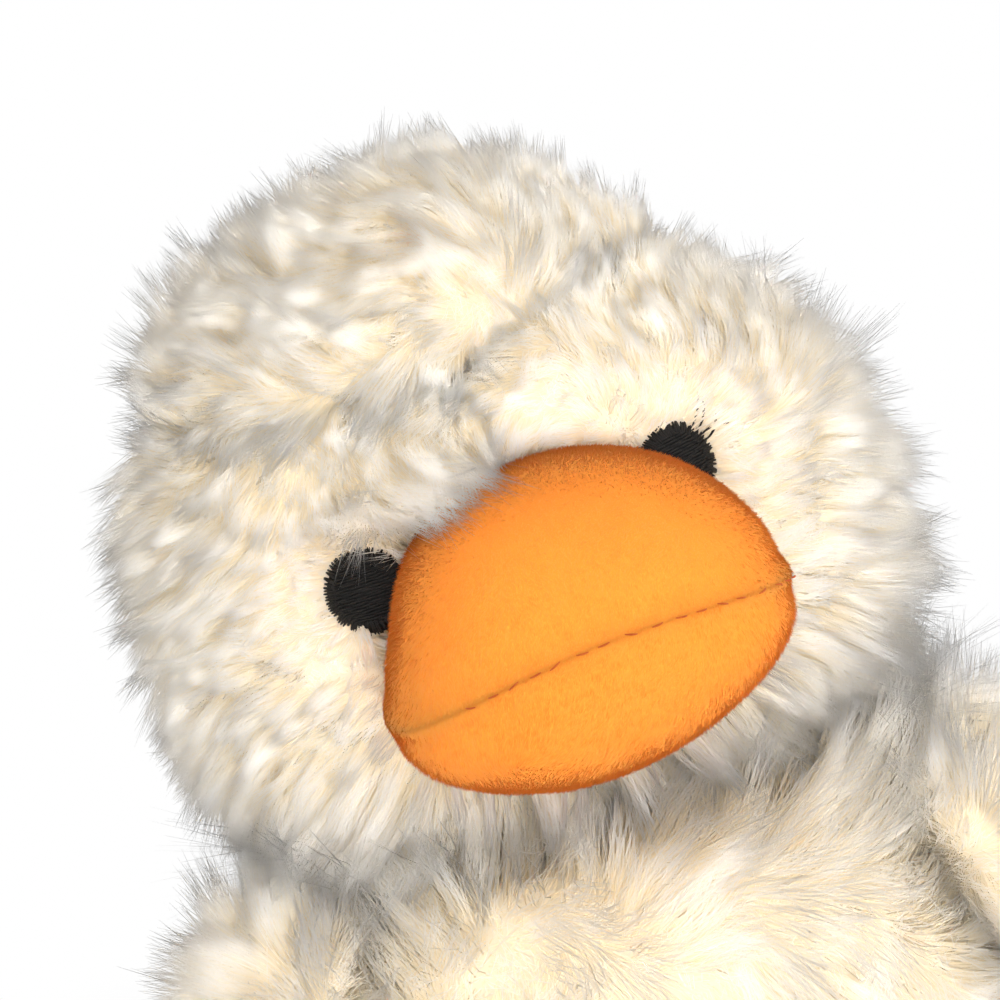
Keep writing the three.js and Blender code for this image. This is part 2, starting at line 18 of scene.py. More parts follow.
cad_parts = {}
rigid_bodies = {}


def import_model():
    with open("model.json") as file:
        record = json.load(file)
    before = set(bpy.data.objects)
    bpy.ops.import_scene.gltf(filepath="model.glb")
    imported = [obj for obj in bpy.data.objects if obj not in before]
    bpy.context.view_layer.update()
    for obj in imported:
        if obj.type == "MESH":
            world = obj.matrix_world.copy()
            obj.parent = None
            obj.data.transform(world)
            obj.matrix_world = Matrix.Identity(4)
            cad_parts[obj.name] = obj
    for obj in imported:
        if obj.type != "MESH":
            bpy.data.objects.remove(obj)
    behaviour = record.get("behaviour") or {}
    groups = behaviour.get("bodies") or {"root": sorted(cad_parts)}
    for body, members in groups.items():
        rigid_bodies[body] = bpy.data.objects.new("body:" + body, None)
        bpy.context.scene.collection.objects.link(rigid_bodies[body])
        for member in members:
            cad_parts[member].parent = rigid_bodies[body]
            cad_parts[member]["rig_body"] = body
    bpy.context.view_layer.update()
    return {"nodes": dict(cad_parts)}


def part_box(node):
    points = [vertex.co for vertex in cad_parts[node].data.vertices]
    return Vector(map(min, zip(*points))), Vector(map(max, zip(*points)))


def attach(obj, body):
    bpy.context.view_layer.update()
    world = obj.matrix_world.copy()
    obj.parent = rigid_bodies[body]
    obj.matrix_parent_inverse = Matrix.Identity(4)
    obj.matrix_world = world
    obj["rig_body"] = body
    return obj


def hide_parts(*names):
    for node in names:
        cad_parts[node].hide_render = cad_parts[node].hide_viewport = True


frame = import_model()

LOG = logging.getLogger("duckling")
BAKE_MAP = "OFBake"
WHOLE_NORMAL = "whole_normal"
Color = Tuple[float, float, float, float]


class Side(Enum):
    """The duckling's own left and right, with the sign of X on that side."""

    LEFT = 1
    RIGHT = -1

    @property
    def word(self) -> str:
        """The side as it starts a node's name."""
        return self.name.lower()


class Slot(Enum):
    """The record's material slots."""

    CREAM_PILE = "cream_pile"
    ORANGE_PILE = "orange_pile"
    BLACK_THREAD = "black_thread"
    CREAM_THREAD = "cream_thread"
    FILLING = "fibre_stuffing"


# Node trees


class Field:
    """A value that flows through a node tree; arithmetic on it adds the nodes that work it out."""

    def __init__(self, graph: "Graph", socket: bpy.types.NodeSocket) -> None:
        """Wraps an output socket of the graph's tree."""
        self.graph = graph
        self.socket = socket

    def __add__(self, other: Any) -> "Field":
        """The sum, of numbers or of vectors."""
        return self.graph.arithmetic("ADD", self, other)

    def __sub__(self, other: Any) -> "Field":
        """The difference, of numbers or of vectors."""
        return self.graph.arithmetic("SUBTRACT", self, other)

    def __mul__(self, other: Any) -> "Field":
        """The product, of numbers, or of a vector and a number."""
        return self.graph.arithmetic("MULTIPLY", self, other)

    def toward(self, other: "Field", share: Any) -> "Field":
        """This value moved towards another one by a share of the way."""
        return self + (other - self) * share

    def cross(self, other: "Field") -> "Field":
        """The cross product of two vectors."""
        return self.graph.arithmetic("CROSS_PRODUCT", self, other)

    def unit(self) -> "Field":
        """The vector at length one."""
        return self.graph.arithmetic("NORMALIZE", self, (0.0, 0.0, 0.0))

    def ramped(self, low: float, high: float) -> "Field":
        """The value's smooth way from low to high, as 0 to 1."""
        node = self.graph.node("ShaderNodeMapRange", {"Value": self, "From Min": low, "From Max": high},
                               interpolation_type="SMOOTHSTEP")
        return self.graph.first(node)


def pick(sockets: Any, key: Any) -> bpy.types.NodeSocket:
    """Finds a socket by its index, or by its name among those in use.

    Args:
        sockets: A node's inputs or outputs.
        key: An index or a name.

    Returns:
        The socket.
    """
    if isinstance(key, int):
        return sockets[key]
    return next(socket for socket in sockets if socket.name == key and socket.enabled)


class Graph:
    """Builds one node tree: its named inputs, its nodes and their links."""

    def __init__(self, tree: bpy.types.NodeTree) -> None:
        """Starts on a tree whose nodes this graph adds."""
        self.tree = tree

    @classmethod
    def group(cls, name: str, kind: str, inputs: Dict[str, Tuple[str, Any]], outputs: Dict[str, str]) -> "Graph":
        """Starts a node group.

        Args:
            name: The group's name.
            kind: GeometryNodeTree or ShaderNodeTree.
            inputs: Socket type and default for each input.
            outputs: Socket type for each output.

        Returns:
            The graph, with its entry and exit nodes made.
        """
        graph = cls(bpy.data.node_groups.new(name, kind))
        for label, (socket_type, value) in inputs.items():
            socket = graph.tree.interface.new_socket(label, in_out="INPUT", socket_type=socket_type)
            if value is not None:
                socket.default_value = value
        for label, socket_type in outputs.items():
            graph.tree.interface.new_socket(label, in_out="OUTPUT", socket_type=socket_type)
        graph.entry = graph.node("NodeGroupInput")
        graph.exit = graph.node("NodeGroupOutput")
        return graph

    def node(self, kind: str, inputs: Optional[Dict[Any, Any]] = None, **settings: Any) -> bpy.types.Node:
        """Adds a node.

        Args:
            kind: The node's type.
            inputs: A field or a plain value for each input that is set.
            settings: The node's own options.

        Returns:
            The node.
        """
        made = self.tree.nodes.new(kind)
        for name, value in settings.items():
            setattr(made, name, value)
        for key, value in (inputs or {}).items():
            self.feed(pick(made.inputs, key), value)
        return made

    def feed(self, socket: bpy.types.NodeSocket, value: Any) -> None:
        """Links a field to a socket, or sets the socket's own value."""
        if isinstance(value, Field):
            self.tree.links.new(value.socket, socket)
        else:
            socket.default_value = value

    def first(self, node: bpy.types.Node) -> Field:
        """The node's first output in use."""
        return Field(self, next(socket for socket in node.outputs if socket.enabled))

    def entering(self, label: str) -> Field:
        """One of the group's own inputs."""
        return Field(self, self.entry.outputs[label])

    def leave(self, label: str, value: Field) -> None:
        """Sends a field to one of the group's outputs."""
        self.feed(self.exit.inputs[label], value)

    def arithmetic(self, operation: str, one: Any, other: Any) -> Field:
        """Adds the math node that fits the two operands.

        Args:
            operation: The math node's operation.
            one: A field or a plain value.
            other: A field or a plain value.

        Returns:
            The result.
        """
        vectors = [isinstance(v, Field) and v.socket.type == "VECTOR" for v in (one, other)]
        if not any(vectors):
            return self.first(self.node("ShaderNodeMath", {0: one, 1: other}, operation=operation))
        if operation == "MULTIPLY" and not all(vectors):
            vector, number = (one, other) if vectors[0] else (other, one)
            return self.first(self.node("ShaderNodeVectorMath", {0: vector, "Scale": number}, operation="SCALE"))
        return self.first(self.node("ShaderNodeVectorMath", {0: one, 1: other}, operation=operation))

    def attribute(self, name: str, data_type: str = "FLOAT") -> Field:
        """A named attribute of the geometry at hand."""
        return self.first(self.node("GeometryNodeInputNamedAttribute", {"Name": name}, data_type=data_type))

    def random(self, low: Any, high: Any, seed: Any) -> Field:
        """A random number or vector for each point, between two limits."""
        kind = "FLOAT_VECTOR" if isinstance(low, tuple) else "FLOAT"
        values = {"Min": low, "Max": high, "Seed": seed}
        return self.first(self.node("FunctionNodeRandomValue", values, data_type=kind))

    def stored(self, geometry: Field, name: str, value: Any, data_type: str = "FLOAT",
               domain: str = "POINT") -> Field:
        """The geometry with a named attribute written on it."""
        values = {"Geometry": geometry, "Name": name, "Value": value}
        return self.first(self.node("GeometryNodeStoreNamedAttribute", values, data_type=data_type, domain=domain))

    def split(self, vector: Field) -> Tuple[Field, Field, Field]:
        """The three parts of a vector."""
        node = self.node("ShaderNodeSeparateXYZ", {0: vector})
        return tuple(Field(self, socket) for socket in node.outputs)

    def joined(self, x: Any, y: Any, z: Any) -> Field:
        """A vector from its three parts."""
        return self.first(self.node("ShaderNodeCombineXYZ", {0: x, 1: y, 2: z}))

    def color_mix(self, share: Any, one: Any, other: Any) -> Field:
        """Two colours mixed by a share."""
        values = {"Factor": share, "A": one, "B": other}
        return self.first(self.node("ShaderNodeMix", values, data_type="RGBA"))


# Finishes


class Effects:
    """The shader node groups that several finishes share, each built once."""

    @staticmethod
    @cache
    def fibre_tone() -> bpy.types.NodeTree:
        """Colour of a fibre from its own map: across is its tone, up is its height. Its foot colour is painted
        light, and its highest tones mix in a painted reflection of the bill.

        Returns:
            A group that puts out a colour.
        """
        shades = ("Root", "Pale", "Warm", "Blush")
        inputs = {"Place": ("NodeSocketVector", None)}
        inputs.update({shade: ("NodeSocketColor", None) for shade in shades})
        graph = Graph.group("fibre_tone", "ShaderNodeTree", inputs, {"Color": "NodeSocketColor"})
        tone, height, _ = graph.split(graph.entering("Place"))
        root, pale, warm, blush = (graph.entering(shade) for shade in shades)
        tip = graph.color_mix(tone.ramped(0.0, 0.62), pale, warm)
        # The foot colour carries painted shade in the cream pile and painted sheen in the orange nap, and fades
        # into the tip colour up the fibre.
        fibre = graph.color_mix(height.ramped(0.0, 0.75), root, tip)
        # Tones past 0.64 mix in a painted reflection: the peach that the bill's orange light would give the fibres.
        with_painted_reflection = graph.color_mix(tone.ramped(0.64, 1.0), fibre, blush)
        graph.leave("Color", with_painted_reflection)
        return graph.tree

    @staticmethod
    @cache
    def mottle() -> bpy.types.NodeTree:
        """Uneven colour and a fine grain from object coordinates.

        Returns:
            A group that puts out a colour and a grain height.
        """
        inputs = {"Light": ("NodeSocketColor", None), "Dark": ("NodeSocketColor", None),
                  "Patch": ("NodeSocketFloat", 60.0), "Grain": ("NodeSocketFloat", 900.0)}
        outputs = {"Color": "NodeSocketColor", "Height": "NodeSocketFloat"}
        graph = Graph.group("mottle", "ShaderNodeTree", inputs, outputs)
        place = Field(graph, graph.node("ShaderNodeTexCoord").outputs["Object"])
        patch = graph.first(graph.node("ShaderNodeTexNoise", {"Vector": place, "Scale": graph.entering("Patch"),
                                                               "Detail": 5.0}))
        grain = graph.first(graph.node("ShaderNodeTexNoise", {"Vector": place, "Scale": graph.entering("Grain"),
                                                               "Detail": 3.0}))
        share = patch.ramped(0.3, 0.7) * 0.7 + grain.ramped(0.3, 0.7) * 0.3
        graph.leave("Color", graph.color_mix(share, graph.entering("Dark"), graph.entering("Light")))
        graph.leave("Height", grain)
        return graph.tree


def start_material(name: str) -> Tuple[bpy.types.Material, Graph, bpy.types.Node]:
    """Makes an empty node material.

    Args:
        name: The material's name.

    Returns:
        The material, its graph and its Principled shader, which is linked to the output.
    """
    material = bpy.data.materials.new(name)
    material.use_nodes = True
    material.node_tree.nodes.clear()
    graph = Graph(material.node_tree)
    shader = graph.node("ShaderNodeBsdfPrincipled")
    output = graph.node("ShaderNodeOutputMaterial")
    graph.feed(output.inputs["Surface"], Field(graph, shader.outputs["BSDF"]))
    return material, graph, shader


@dataclass(frozen=True)
class FibreFinish:
    """A pile fabric whose fibres carry their own map of tone and height."""

    name: str
    # The colour at the fibre's foot is painted light. In the cream pile it is partly the fibre's own cream and
    # partly painted warm shade deep in the pile. In the orange nap it is a painted golden sheen where the lower
    # fibres show at the rims.
    root: Color
    pale: Color
    warm: Color
    # The fourth colour is a painted reflection: the peach that orange light thrown off the bill would give the
    # fibres beside it.
    blush: Color
    roughness: float
    sheen: float
    glow: float = 0.85
    sheen_tint: Color = (1, 1, 1, 1)
    spread: float = 0.0068

    @cache
    def material(self) -> bpy.types.Material:
        """The material, built on its first use."""
        material, graph, shader = start_material(self.name)
        tone = graph.node("ShaderNodeGroup", node_tree=Effects.fibre_tone())
        place = graph.first(graph.node("ShaderNodeUVMap", uv_map=BAKE_MAP))
        shades = {"Root": self.root, "Pale": self.pale, "Warm": self.warm, "Blush": self.blush}
        for label, value in {"Place": place, **shades}.items():
            graph.feed(tone.inputs[label], value)
        graph.feed(shader.inputs["Base Color"], graph.first(tone))
        shader.inputs["Roughness"].default_value = self.roughness
        shader.inputs["Specular IOR Level"].default_value = 0.15
        shader.inputs["Sheen Weight"].default_value = self.sheen
        shader.inputs["Sheen Roughness"].default_value = 0.6
        shader.inputs["Sheen Tint"].default_value = self.sheen_tint
        shader.subsurface_method = "BURLEY"
        shader.inputs["Subsurface Weight"].default_value = self.glow
        shader.inputs["Subsurface Radius"].default_value = (1.0, 0.9, 0.75)
        shader.inputs["Subsurface Scale"].default_value = self.spread
        return material


@dataclass(frozen=True)
class GrainFinish:
    """A solid, uneven surface with a fine grain, such as thread, filling or moulded plastic."""

    name: str
    light: Color
    dark: Color
    patch: float
    grain: float
    bump: float
    roughness: float
    specular: float = 0.3
    subsurface: float = 0.0

    @cache
    def material(self) -> bpy.types.Material:
        """The material, built on its first use."""
        material, graph, shader = start_material(self.name)
        mottle = graph.node("ShaderNodeGroup", node_tree=Effects.mottle())
        values = {"Light": self.light, "Dark": self.dark, "Patch": self.patch, "Grain": self.grain}
        for label, value in values.items():
            graph.feed(mottle.inputs[label], value)
        graph.feed(shader.inputs["Base Color"], Field(graph, mottle.outputs["Color"]))
        height = Field(graph, mottle.outputs["Height"])
        bump = graph.node("ShaderNodeBump", {"Strength": self.bump, "Distance": 0.0004, "Height": height})
        graph.feed(shader.inputs["Normal"], graph.first(bump))
        shader.inputs["Roughness"].default_value = self.roughness
        shader.inputs["Specular IOR Level"].default_value = self.specular
        shader.inputs["Subsurface Weight"].default_value = self.subsurface
        shader.inputs["Subsurface Scale"].default_value = 0.002
        return material


# Cream pile: its foot colour, warmer and deeper than its tips, is partly the fibre's own cream and partly painted
# shade for the warm shade deep in the pile. Its fourth colour is a painted reflection of the orange bill.
CREAM_PILE = FibreFinish(
    name="cream_pile", root=(0.985, 0.87, 0.66, 1), pale=(0.985, 0.975, 0.965, 1), warm=(0.985, 0.965, 0.93, 1),
    blush=(0.96, 0.62, 0.45, 1), roughness=0.85, sheen=0.15,
)
LOOSE_PILE = replace(CREAM_PILE, name="loose_cream_pile", spread=0.012)
# Orange nap: its foot colour, a lighter golden orange than its tips, is a painted sheen where the lower fibres show
# at the rims of the bill and feet.
ORANGE_NAP = FibreFinish(
    name="orange_nap", root=(0.95, 0.41, 0.05, 1), pale=(0.95, 0.37, 0.055, 1), warm=(0.95, 0.26, 0.025, 1),
    blush=(0.88, 0.24, 0.04, 1), roughness=0.9, sheen=0.5, sheen_tint=(1.0, 0.75, 0.3, 1),
)
BLACK_THREAD = GrainFinish(
    name="black_thread", light=(0.012, 0.011, 0.010, 1), dark=(0.003, 0.003, 0.003, 1), patch=300.0,
    grain=4000.0, bump=0.5, roughness=0.55, specular=0.35,
)
RUST_THREAD = GrainFinish(
    name="rust_thread", light=(0.86, 0.20, 0.03, 1), dark=(0.62, 0.09, 0.015, 1), patch=400.0, grain=4000.0,
    bump=0.4, roughness=0.6,
)
CREAM_THREAD = GrainFinish(
    name="cream_thread", light=(0.86, 0.76, 0.58, 1), dark=(0.70, 0.58, 0.40, 1), patch=400.0, grain=4000.0,
    bump=0.4, roughness=0.7,
)
FILLING = GrainFinish(
    name="fibre_filling", light=(0.93, 0.93, 0.91, 1), dark=(0.78, 0.78, 0.75, 1), patch=90.0, grain=700.0,
    bump=0.8, roughness=0.95,
)
MILKY_PLASTIC = GrainFinish(
    name="milky_plastic", light=(0.88, 0.90, 0.88, 1), dark=(0.80, 0.83, 0.81, 1), patch=80.0, grain=2500.0,
    bump=0.1, roughness=0.42, specular=0.5, subsurface=0.2,
)


# Points and meshes


def ramp(values: np.ndarray, low: float, high: float) -> np.ndarray:
    """The values' smooth way from low to high, as 0 to 1."""
    share = np.clip((values - low) / (high - low), 0.0, 1.0)
    return share * share * (3.0 - 2.0 * share)


def unit(vectors: np.ndarray) -> np.ndarray:
    """The vectors at length one."""
    return vectors / np.maximum(np.linalg.norm(vectors, axis=1, keepdims=True), 1e-9)


def tangent(vectors: np.ndarray, normals: np.ndarray) -> np.ndarray:
    """The vectors laid down on a surface, at length one."""
    return unit(vectors - normals * np.sum(vectors * normals, axis=1, keepdims=True))


def turned(vectors: np.ndarray, normals: np.ndarray, angles: np.ndarray) -> np.ndarray:
    """The vectors turned about the normals."""
    share = angles[:, None]
    return vectors * np.cos(share) + np.cross(normals, vectors) * np.sin(share)


def noise_at(points: np.ndarray, spacing: float, seed: float) -> np.ndarray:
    """Smooth noise from about -1 to 1.

    Args:
        points: Where it is read.
        spacing: The size of its patches.
        seed: Tells one noise from another.

    Returns:
        A value for each point.
    """
    shift = Vector((seed * 17.3, seed * 5.1, seed * 9.7))
    return np.array([noise.noise(Vector(point) / spacing + shift) for point in points])


def blend(one: np.ndarray, other: np.ndarray, share: np.ndarray) -> np.ndarray:
    """The vectors of one set, and those of another by a share of each."""
    return one * (1 - share)[:, None] + other * share[:, None]


def placed(points: np.ndarray, place: Matrix) -> np.ndarray:
    """The points after a frame's turn and shift."""
    turn = np.array(place)
    return points @ turn[:3, :3].T + turn[:3, 3]


def rows(data: Any, label: str) -> np.ndarray:
    """The vectors that a mesh holds, one row each."""
    flat = np.zeros(len(data) * 3, np.float32)
    data.foreach_get(label, flat)
    return flat.reshape(-1, 3).astype(float)


def positions(mesh: bpy.types.Mesh) -> np.ndarray:
    """The mesh's points, one row each."""
    return rows(mesh.vertices, "co")


def normals_of(mesh: bpy.types.Mesh) -> np.ndarray:
    """The mesh's point normals, one row each."""
    return rows(mesh.vertex_normals, "vector")


def move_points(mesh: bpy.types.Mesh, points: np.ndarray) -> None:
    """Gives the mesh's points new places."""
    mesh.vertices.foreach_set("co", points.astype(np.float32).ravel())
    mesh.update()


def linked(name: str, mesh: bpy.types.Mesh) -> bpy.types.Object:
    """A new object in the scene that shows the mesh."""
    made = bpy.data.objects.new(name, mesh)
    bpy.context.scene.collection.objects.link(made)
    return made


def settled(obj: bpy.types.Object) -> bpy.types.Mesh:
    """The object's evaluated shape as a plain mesh, with the object removed."""
    depsgraph = bpy.context.evaluated_depsgraph_get()
    mesh = bpy.data.meshes.new_from_object(obj.evaluated_get(depsgraph))
    bpy.data.objects.remove(obj)
    return mesh


def poured(work: bmesh.types.BMesh, name: str) -> bpy.types.Mesh:
    """A new mesh from an edited one, which is freed."""
    mesh = bpy.data.meshes.new(name)
    work.to_mesh(mesh)
    work.free()
    return mesh


def ball_mesh(name: str, sides: int, rings: int, shape: Callable[[np.ndarray, np.ndarray], np.ndarray]
              ) -> bpy.types.Mesh:
    """A closed mesh of rows about an axis, with a fan at each pole.

    Args:
        name: The mesh's name.
        sides: Points in a row.
        rings: Rows between the poles.
        shape: Gives the point at a latitude and a longitude.

    Returns:
        The mesh, its faces pointing out.
    """
    latitudes = np.linspace(-math.pi / 2, math.pi / 2, rings + 2)
    longitudes = np.arange(sides) * (2 * math.pi / sides)
    rows, columns = np.meshgrid(latitudes[1:-1], longitudes, indexing="ij")
    points = shape(rows.ravel(), columns.ravel())
    poles = shape(latitudes[[0, -1]], np.zeros(2))
    south, north = len(points), len(points) + 1
    faces = []
    for side in range(sides):
        after = (side + 1) % sides
        faces.append((south, after, side))
        faces.append((north, (rings - 1) * sides + side, (rings - 1) * sides + after))
        for ring in range(rings - 1):
            low, high = ring * sides, (ring + 1) * sides
            faces.append((low + side, low + after, high + after, high + side))
    mesh = bpy.data.meshes.new(name)
    mesh.from_pydata(np.vstack([points, poles]).tolist(), [], faces)
    mesh.update()
    return mesh


def store_normals(mesh: bpy.types.Mesh) -> None:
    """Writes the mesh's point normals on it, so that a part cut from it keeps them at its edge."""
    if WHOLE_NORMAL not in mesh.attributes:
        mesh.attributes.new(WHOLE_NORMAL, "FLOAT_VECTOR", "POINT")
    mesh.attributes[WHOLE_NORMAL].data.foreach_set("vector", normals_of(mesh).astype(np.float32).ravel())


def stored_normals(mesh: bpy.types.Mesh) -> np.ndarray:
    """The normals that a part's points had on the whole, one row each."""
    return unit(rows(mesh.attributes[WHOLE_NORMAL].data, "vector"))


def sliced(mesh: bpy.types.Mesh, planes: Sequence[Tuple[Vector, Vector]]) -> bpy.types.Mesh:
    """A copy of the mesh, cut by planes.

    Args:
        mesh: The mesh that is cut.
        planes: A point and a normal of each plane, on whose side the mesh is kept.

    Returns:
        The part that is left.
    """
    store_normals(mesh)
    work = bmesh.new()
    work.from_mesh(mesh)
    for point, normal in planes:
        everything = work.verts[:] + work.edges[:] + work.faces[:]
        bmesh.ops.bisect_plane(work, geom=everything, dist=1e-7, plane_co=point, plane_no=normal, clear_inner=True)
    return poured(work, mesh.name)


def without(mesh: bpy.types.Mesh, hidden: np.ndarray) -> bpy.types.Mesh:
    """A copy of the mesh without the faces whose points are all hidden."""
    work = bmesh.new()
    work.from_mesh(mesh)
    gone = [face for face in work.faces if all(hidden[vertex.index] for vertex in face.verts)]
    bmesh.ops.delete(work, geom=gone, context="FACES")
    return poured(work, mesh.name)


@dataclass(frozen=True)
class PlumpForm:
    """An oval revolve with its own fullness above and below its widest line."""

    half_width: float
    half_depth: float
    above: float
    below: float
    full_above: float
    full_below: float
    centre: Tuple[float, float, float]

    def mesh(self, name: str, inset: float, sides: int, rings: int) -> bpy.types.Mesh:
        """The form as a mesh, drawn in by an inset."""

        def shape(latitude: np.ndarray, longitude: np.ndarray) -> np.ndarray:
            """The point at a latitude and a longitude."""
            rising = latitude >= 0
            power = 2.0 / np.where(rising, self.full_above, self.full_below)
            height = np.where(rising, self.above - inset, self.below - inset)
            across = np.clip(np.cos(latitude), 0.0, 1.0) ** power
            up = np.sign(latitude) * np.abs(np.sin(latitude)) ** power * height
            east = across * np.cos(longitude) * (self.half_width - inset)
            south = across * np.sin(longitude) * (self.half_depth - inset)
            return np.stack([east, south, up], axis=1) + np.array(self.centre)

        return ball_mesh(name, sides, rings, shape)

    def level(self, points: np.ndarray, inset: float = 0.0) -> np.ndarray:
        """How far out points lie: 1 on the form, less inside it."""
        local = points - np.array(self.centre)
        rising = local[:, 2] >= 0
        fullness = np.where(rising, self.full_above, self.full_below)
        height = np.where(rising, self.above, self.below) - inset
        reach = np.hypot(local[:, 0] / (self.half_width - inset), local[:, 1] / (self.half_depth - inset))
        return (reach ** fullness + np.abs(local[:, 2] / height) ** fullness) ** (1.0 / fullness)

    def reach_at(self, height: float, half_reach: float) -> float:
        """The half width or half depth at a height, from the widest one."""
        rise = height - self.centre[2]
        fullness = self.full_above if rise > 0 else self.full_below
        share = abs(rise) / (self.above if rise > 0 else self.below)
        return half_reach * (1.0 - share ** fullness) ** (1.0 / fullness)


@dataclass(frozen=True)
class PadForm:
    """Two panels sewn round an outline and stuffed: +X is the pad's length, +Z its thickness."""

    length: float
    root_depth: float
    root_half_width: float
    tip_half_width: float
    half_thickness: float
    squareness: float
    toe_angle: float = 0.0
    toe_notch: float = 0.0

    @property
    def half_length(self) -> float:
        """Half the outline's length."""
        return (self.length + self.root_depth) / 2

    @property
    def middle(self) -> float:
        """The outline's middle on X, from the seam that the pad hangs on."""
        return self.length - self.half_length

    def radius(self, angle: np.ndarray) -> np.ndarray:
        """The outline's radius at an angle from +X about its middle."""
        widening = (1.0 + np.cos(angle)) / 2
        half_width = self.root_half_width + (self.tip_half_width - self.root_half_width) * widening
        along = np.abs(np.cos(angle) / self.half_length) ** self.squareness
        across = np.abs(np.sin(angle) / half_width) ** self.squareness
        radius = (along + across) ** (-1.0 / self.squareness)
        if self.toe_notch:
            turn = (angle + math.pi) % (2 * math.pi) - math.pi
            web = (1.0 - np.cos(2 * math.pi * turn / self.toe_angle)) / 2
            radius = radius - self.toe_notch * np.where(np.abs(turn) < self.toe_angle, web, 0.0)
        return radius

    def mesh(self, name: str, inset: float, sides: int, rings: int) -> bpy.types.Mesh:
        """The pad as a mesh, drawn in by an inset. Its middle row is the seam."""

        def shape(latitude: np.ndarray, longitude: np.ndarray) -> np.ndarray:
            """The point at a latitude and a longitude."""
            reach = np.cos(latitude) * (self.radius(longitude) - inset)
            up = np.sin(latitude) * (self.half_thickness - inset)
            return np.stack([reach * np.cos(longitude) + self.middle, reach * np.sin(longitude), up], axis=1)

        return ball_mesh(name, sides, rings, shape)

    def level(self, points: np.ndarray, inset: float = 0.0) -> np.ndarray:
        """How far out points lie: 1 on the pad, less inside it."""
        along, across = points[:, 0] - self.middle, points[:, 1]
        reach = np.hypot(along, across) / (self.radius(np.arctan2(across, along)) - inset)
        return np.hypot(reach, points[:, 2] / (self.half_thickness - inset))


# Pile


@dataclass(frozen=True)
class Pile:
    """How the fibres of a fabric stand: counts for a square metre, sizes in metres, the rest as shares."""

    density: float
    tufts: float
    width: float
    rise: float
    lean: float
    pull: float
    stray: float
    scatter: float
    segments: int = 2
    roll: float = 0.5
    softness: float = 0.6
    lowest: float = -1.0
    seed: int = 1


@dataclass
class Groom:
    """What the pile does at each point of a skin: its lie, length, share of the density, and tone."""

    comb: np.ndarray
    length: np.ndarray
    share: np.ndarray
    tone: np.ndarray


GroomRule = Callable[[np.ndarray, np.ndarray], Groom]
ROUNDNESS = 1.1


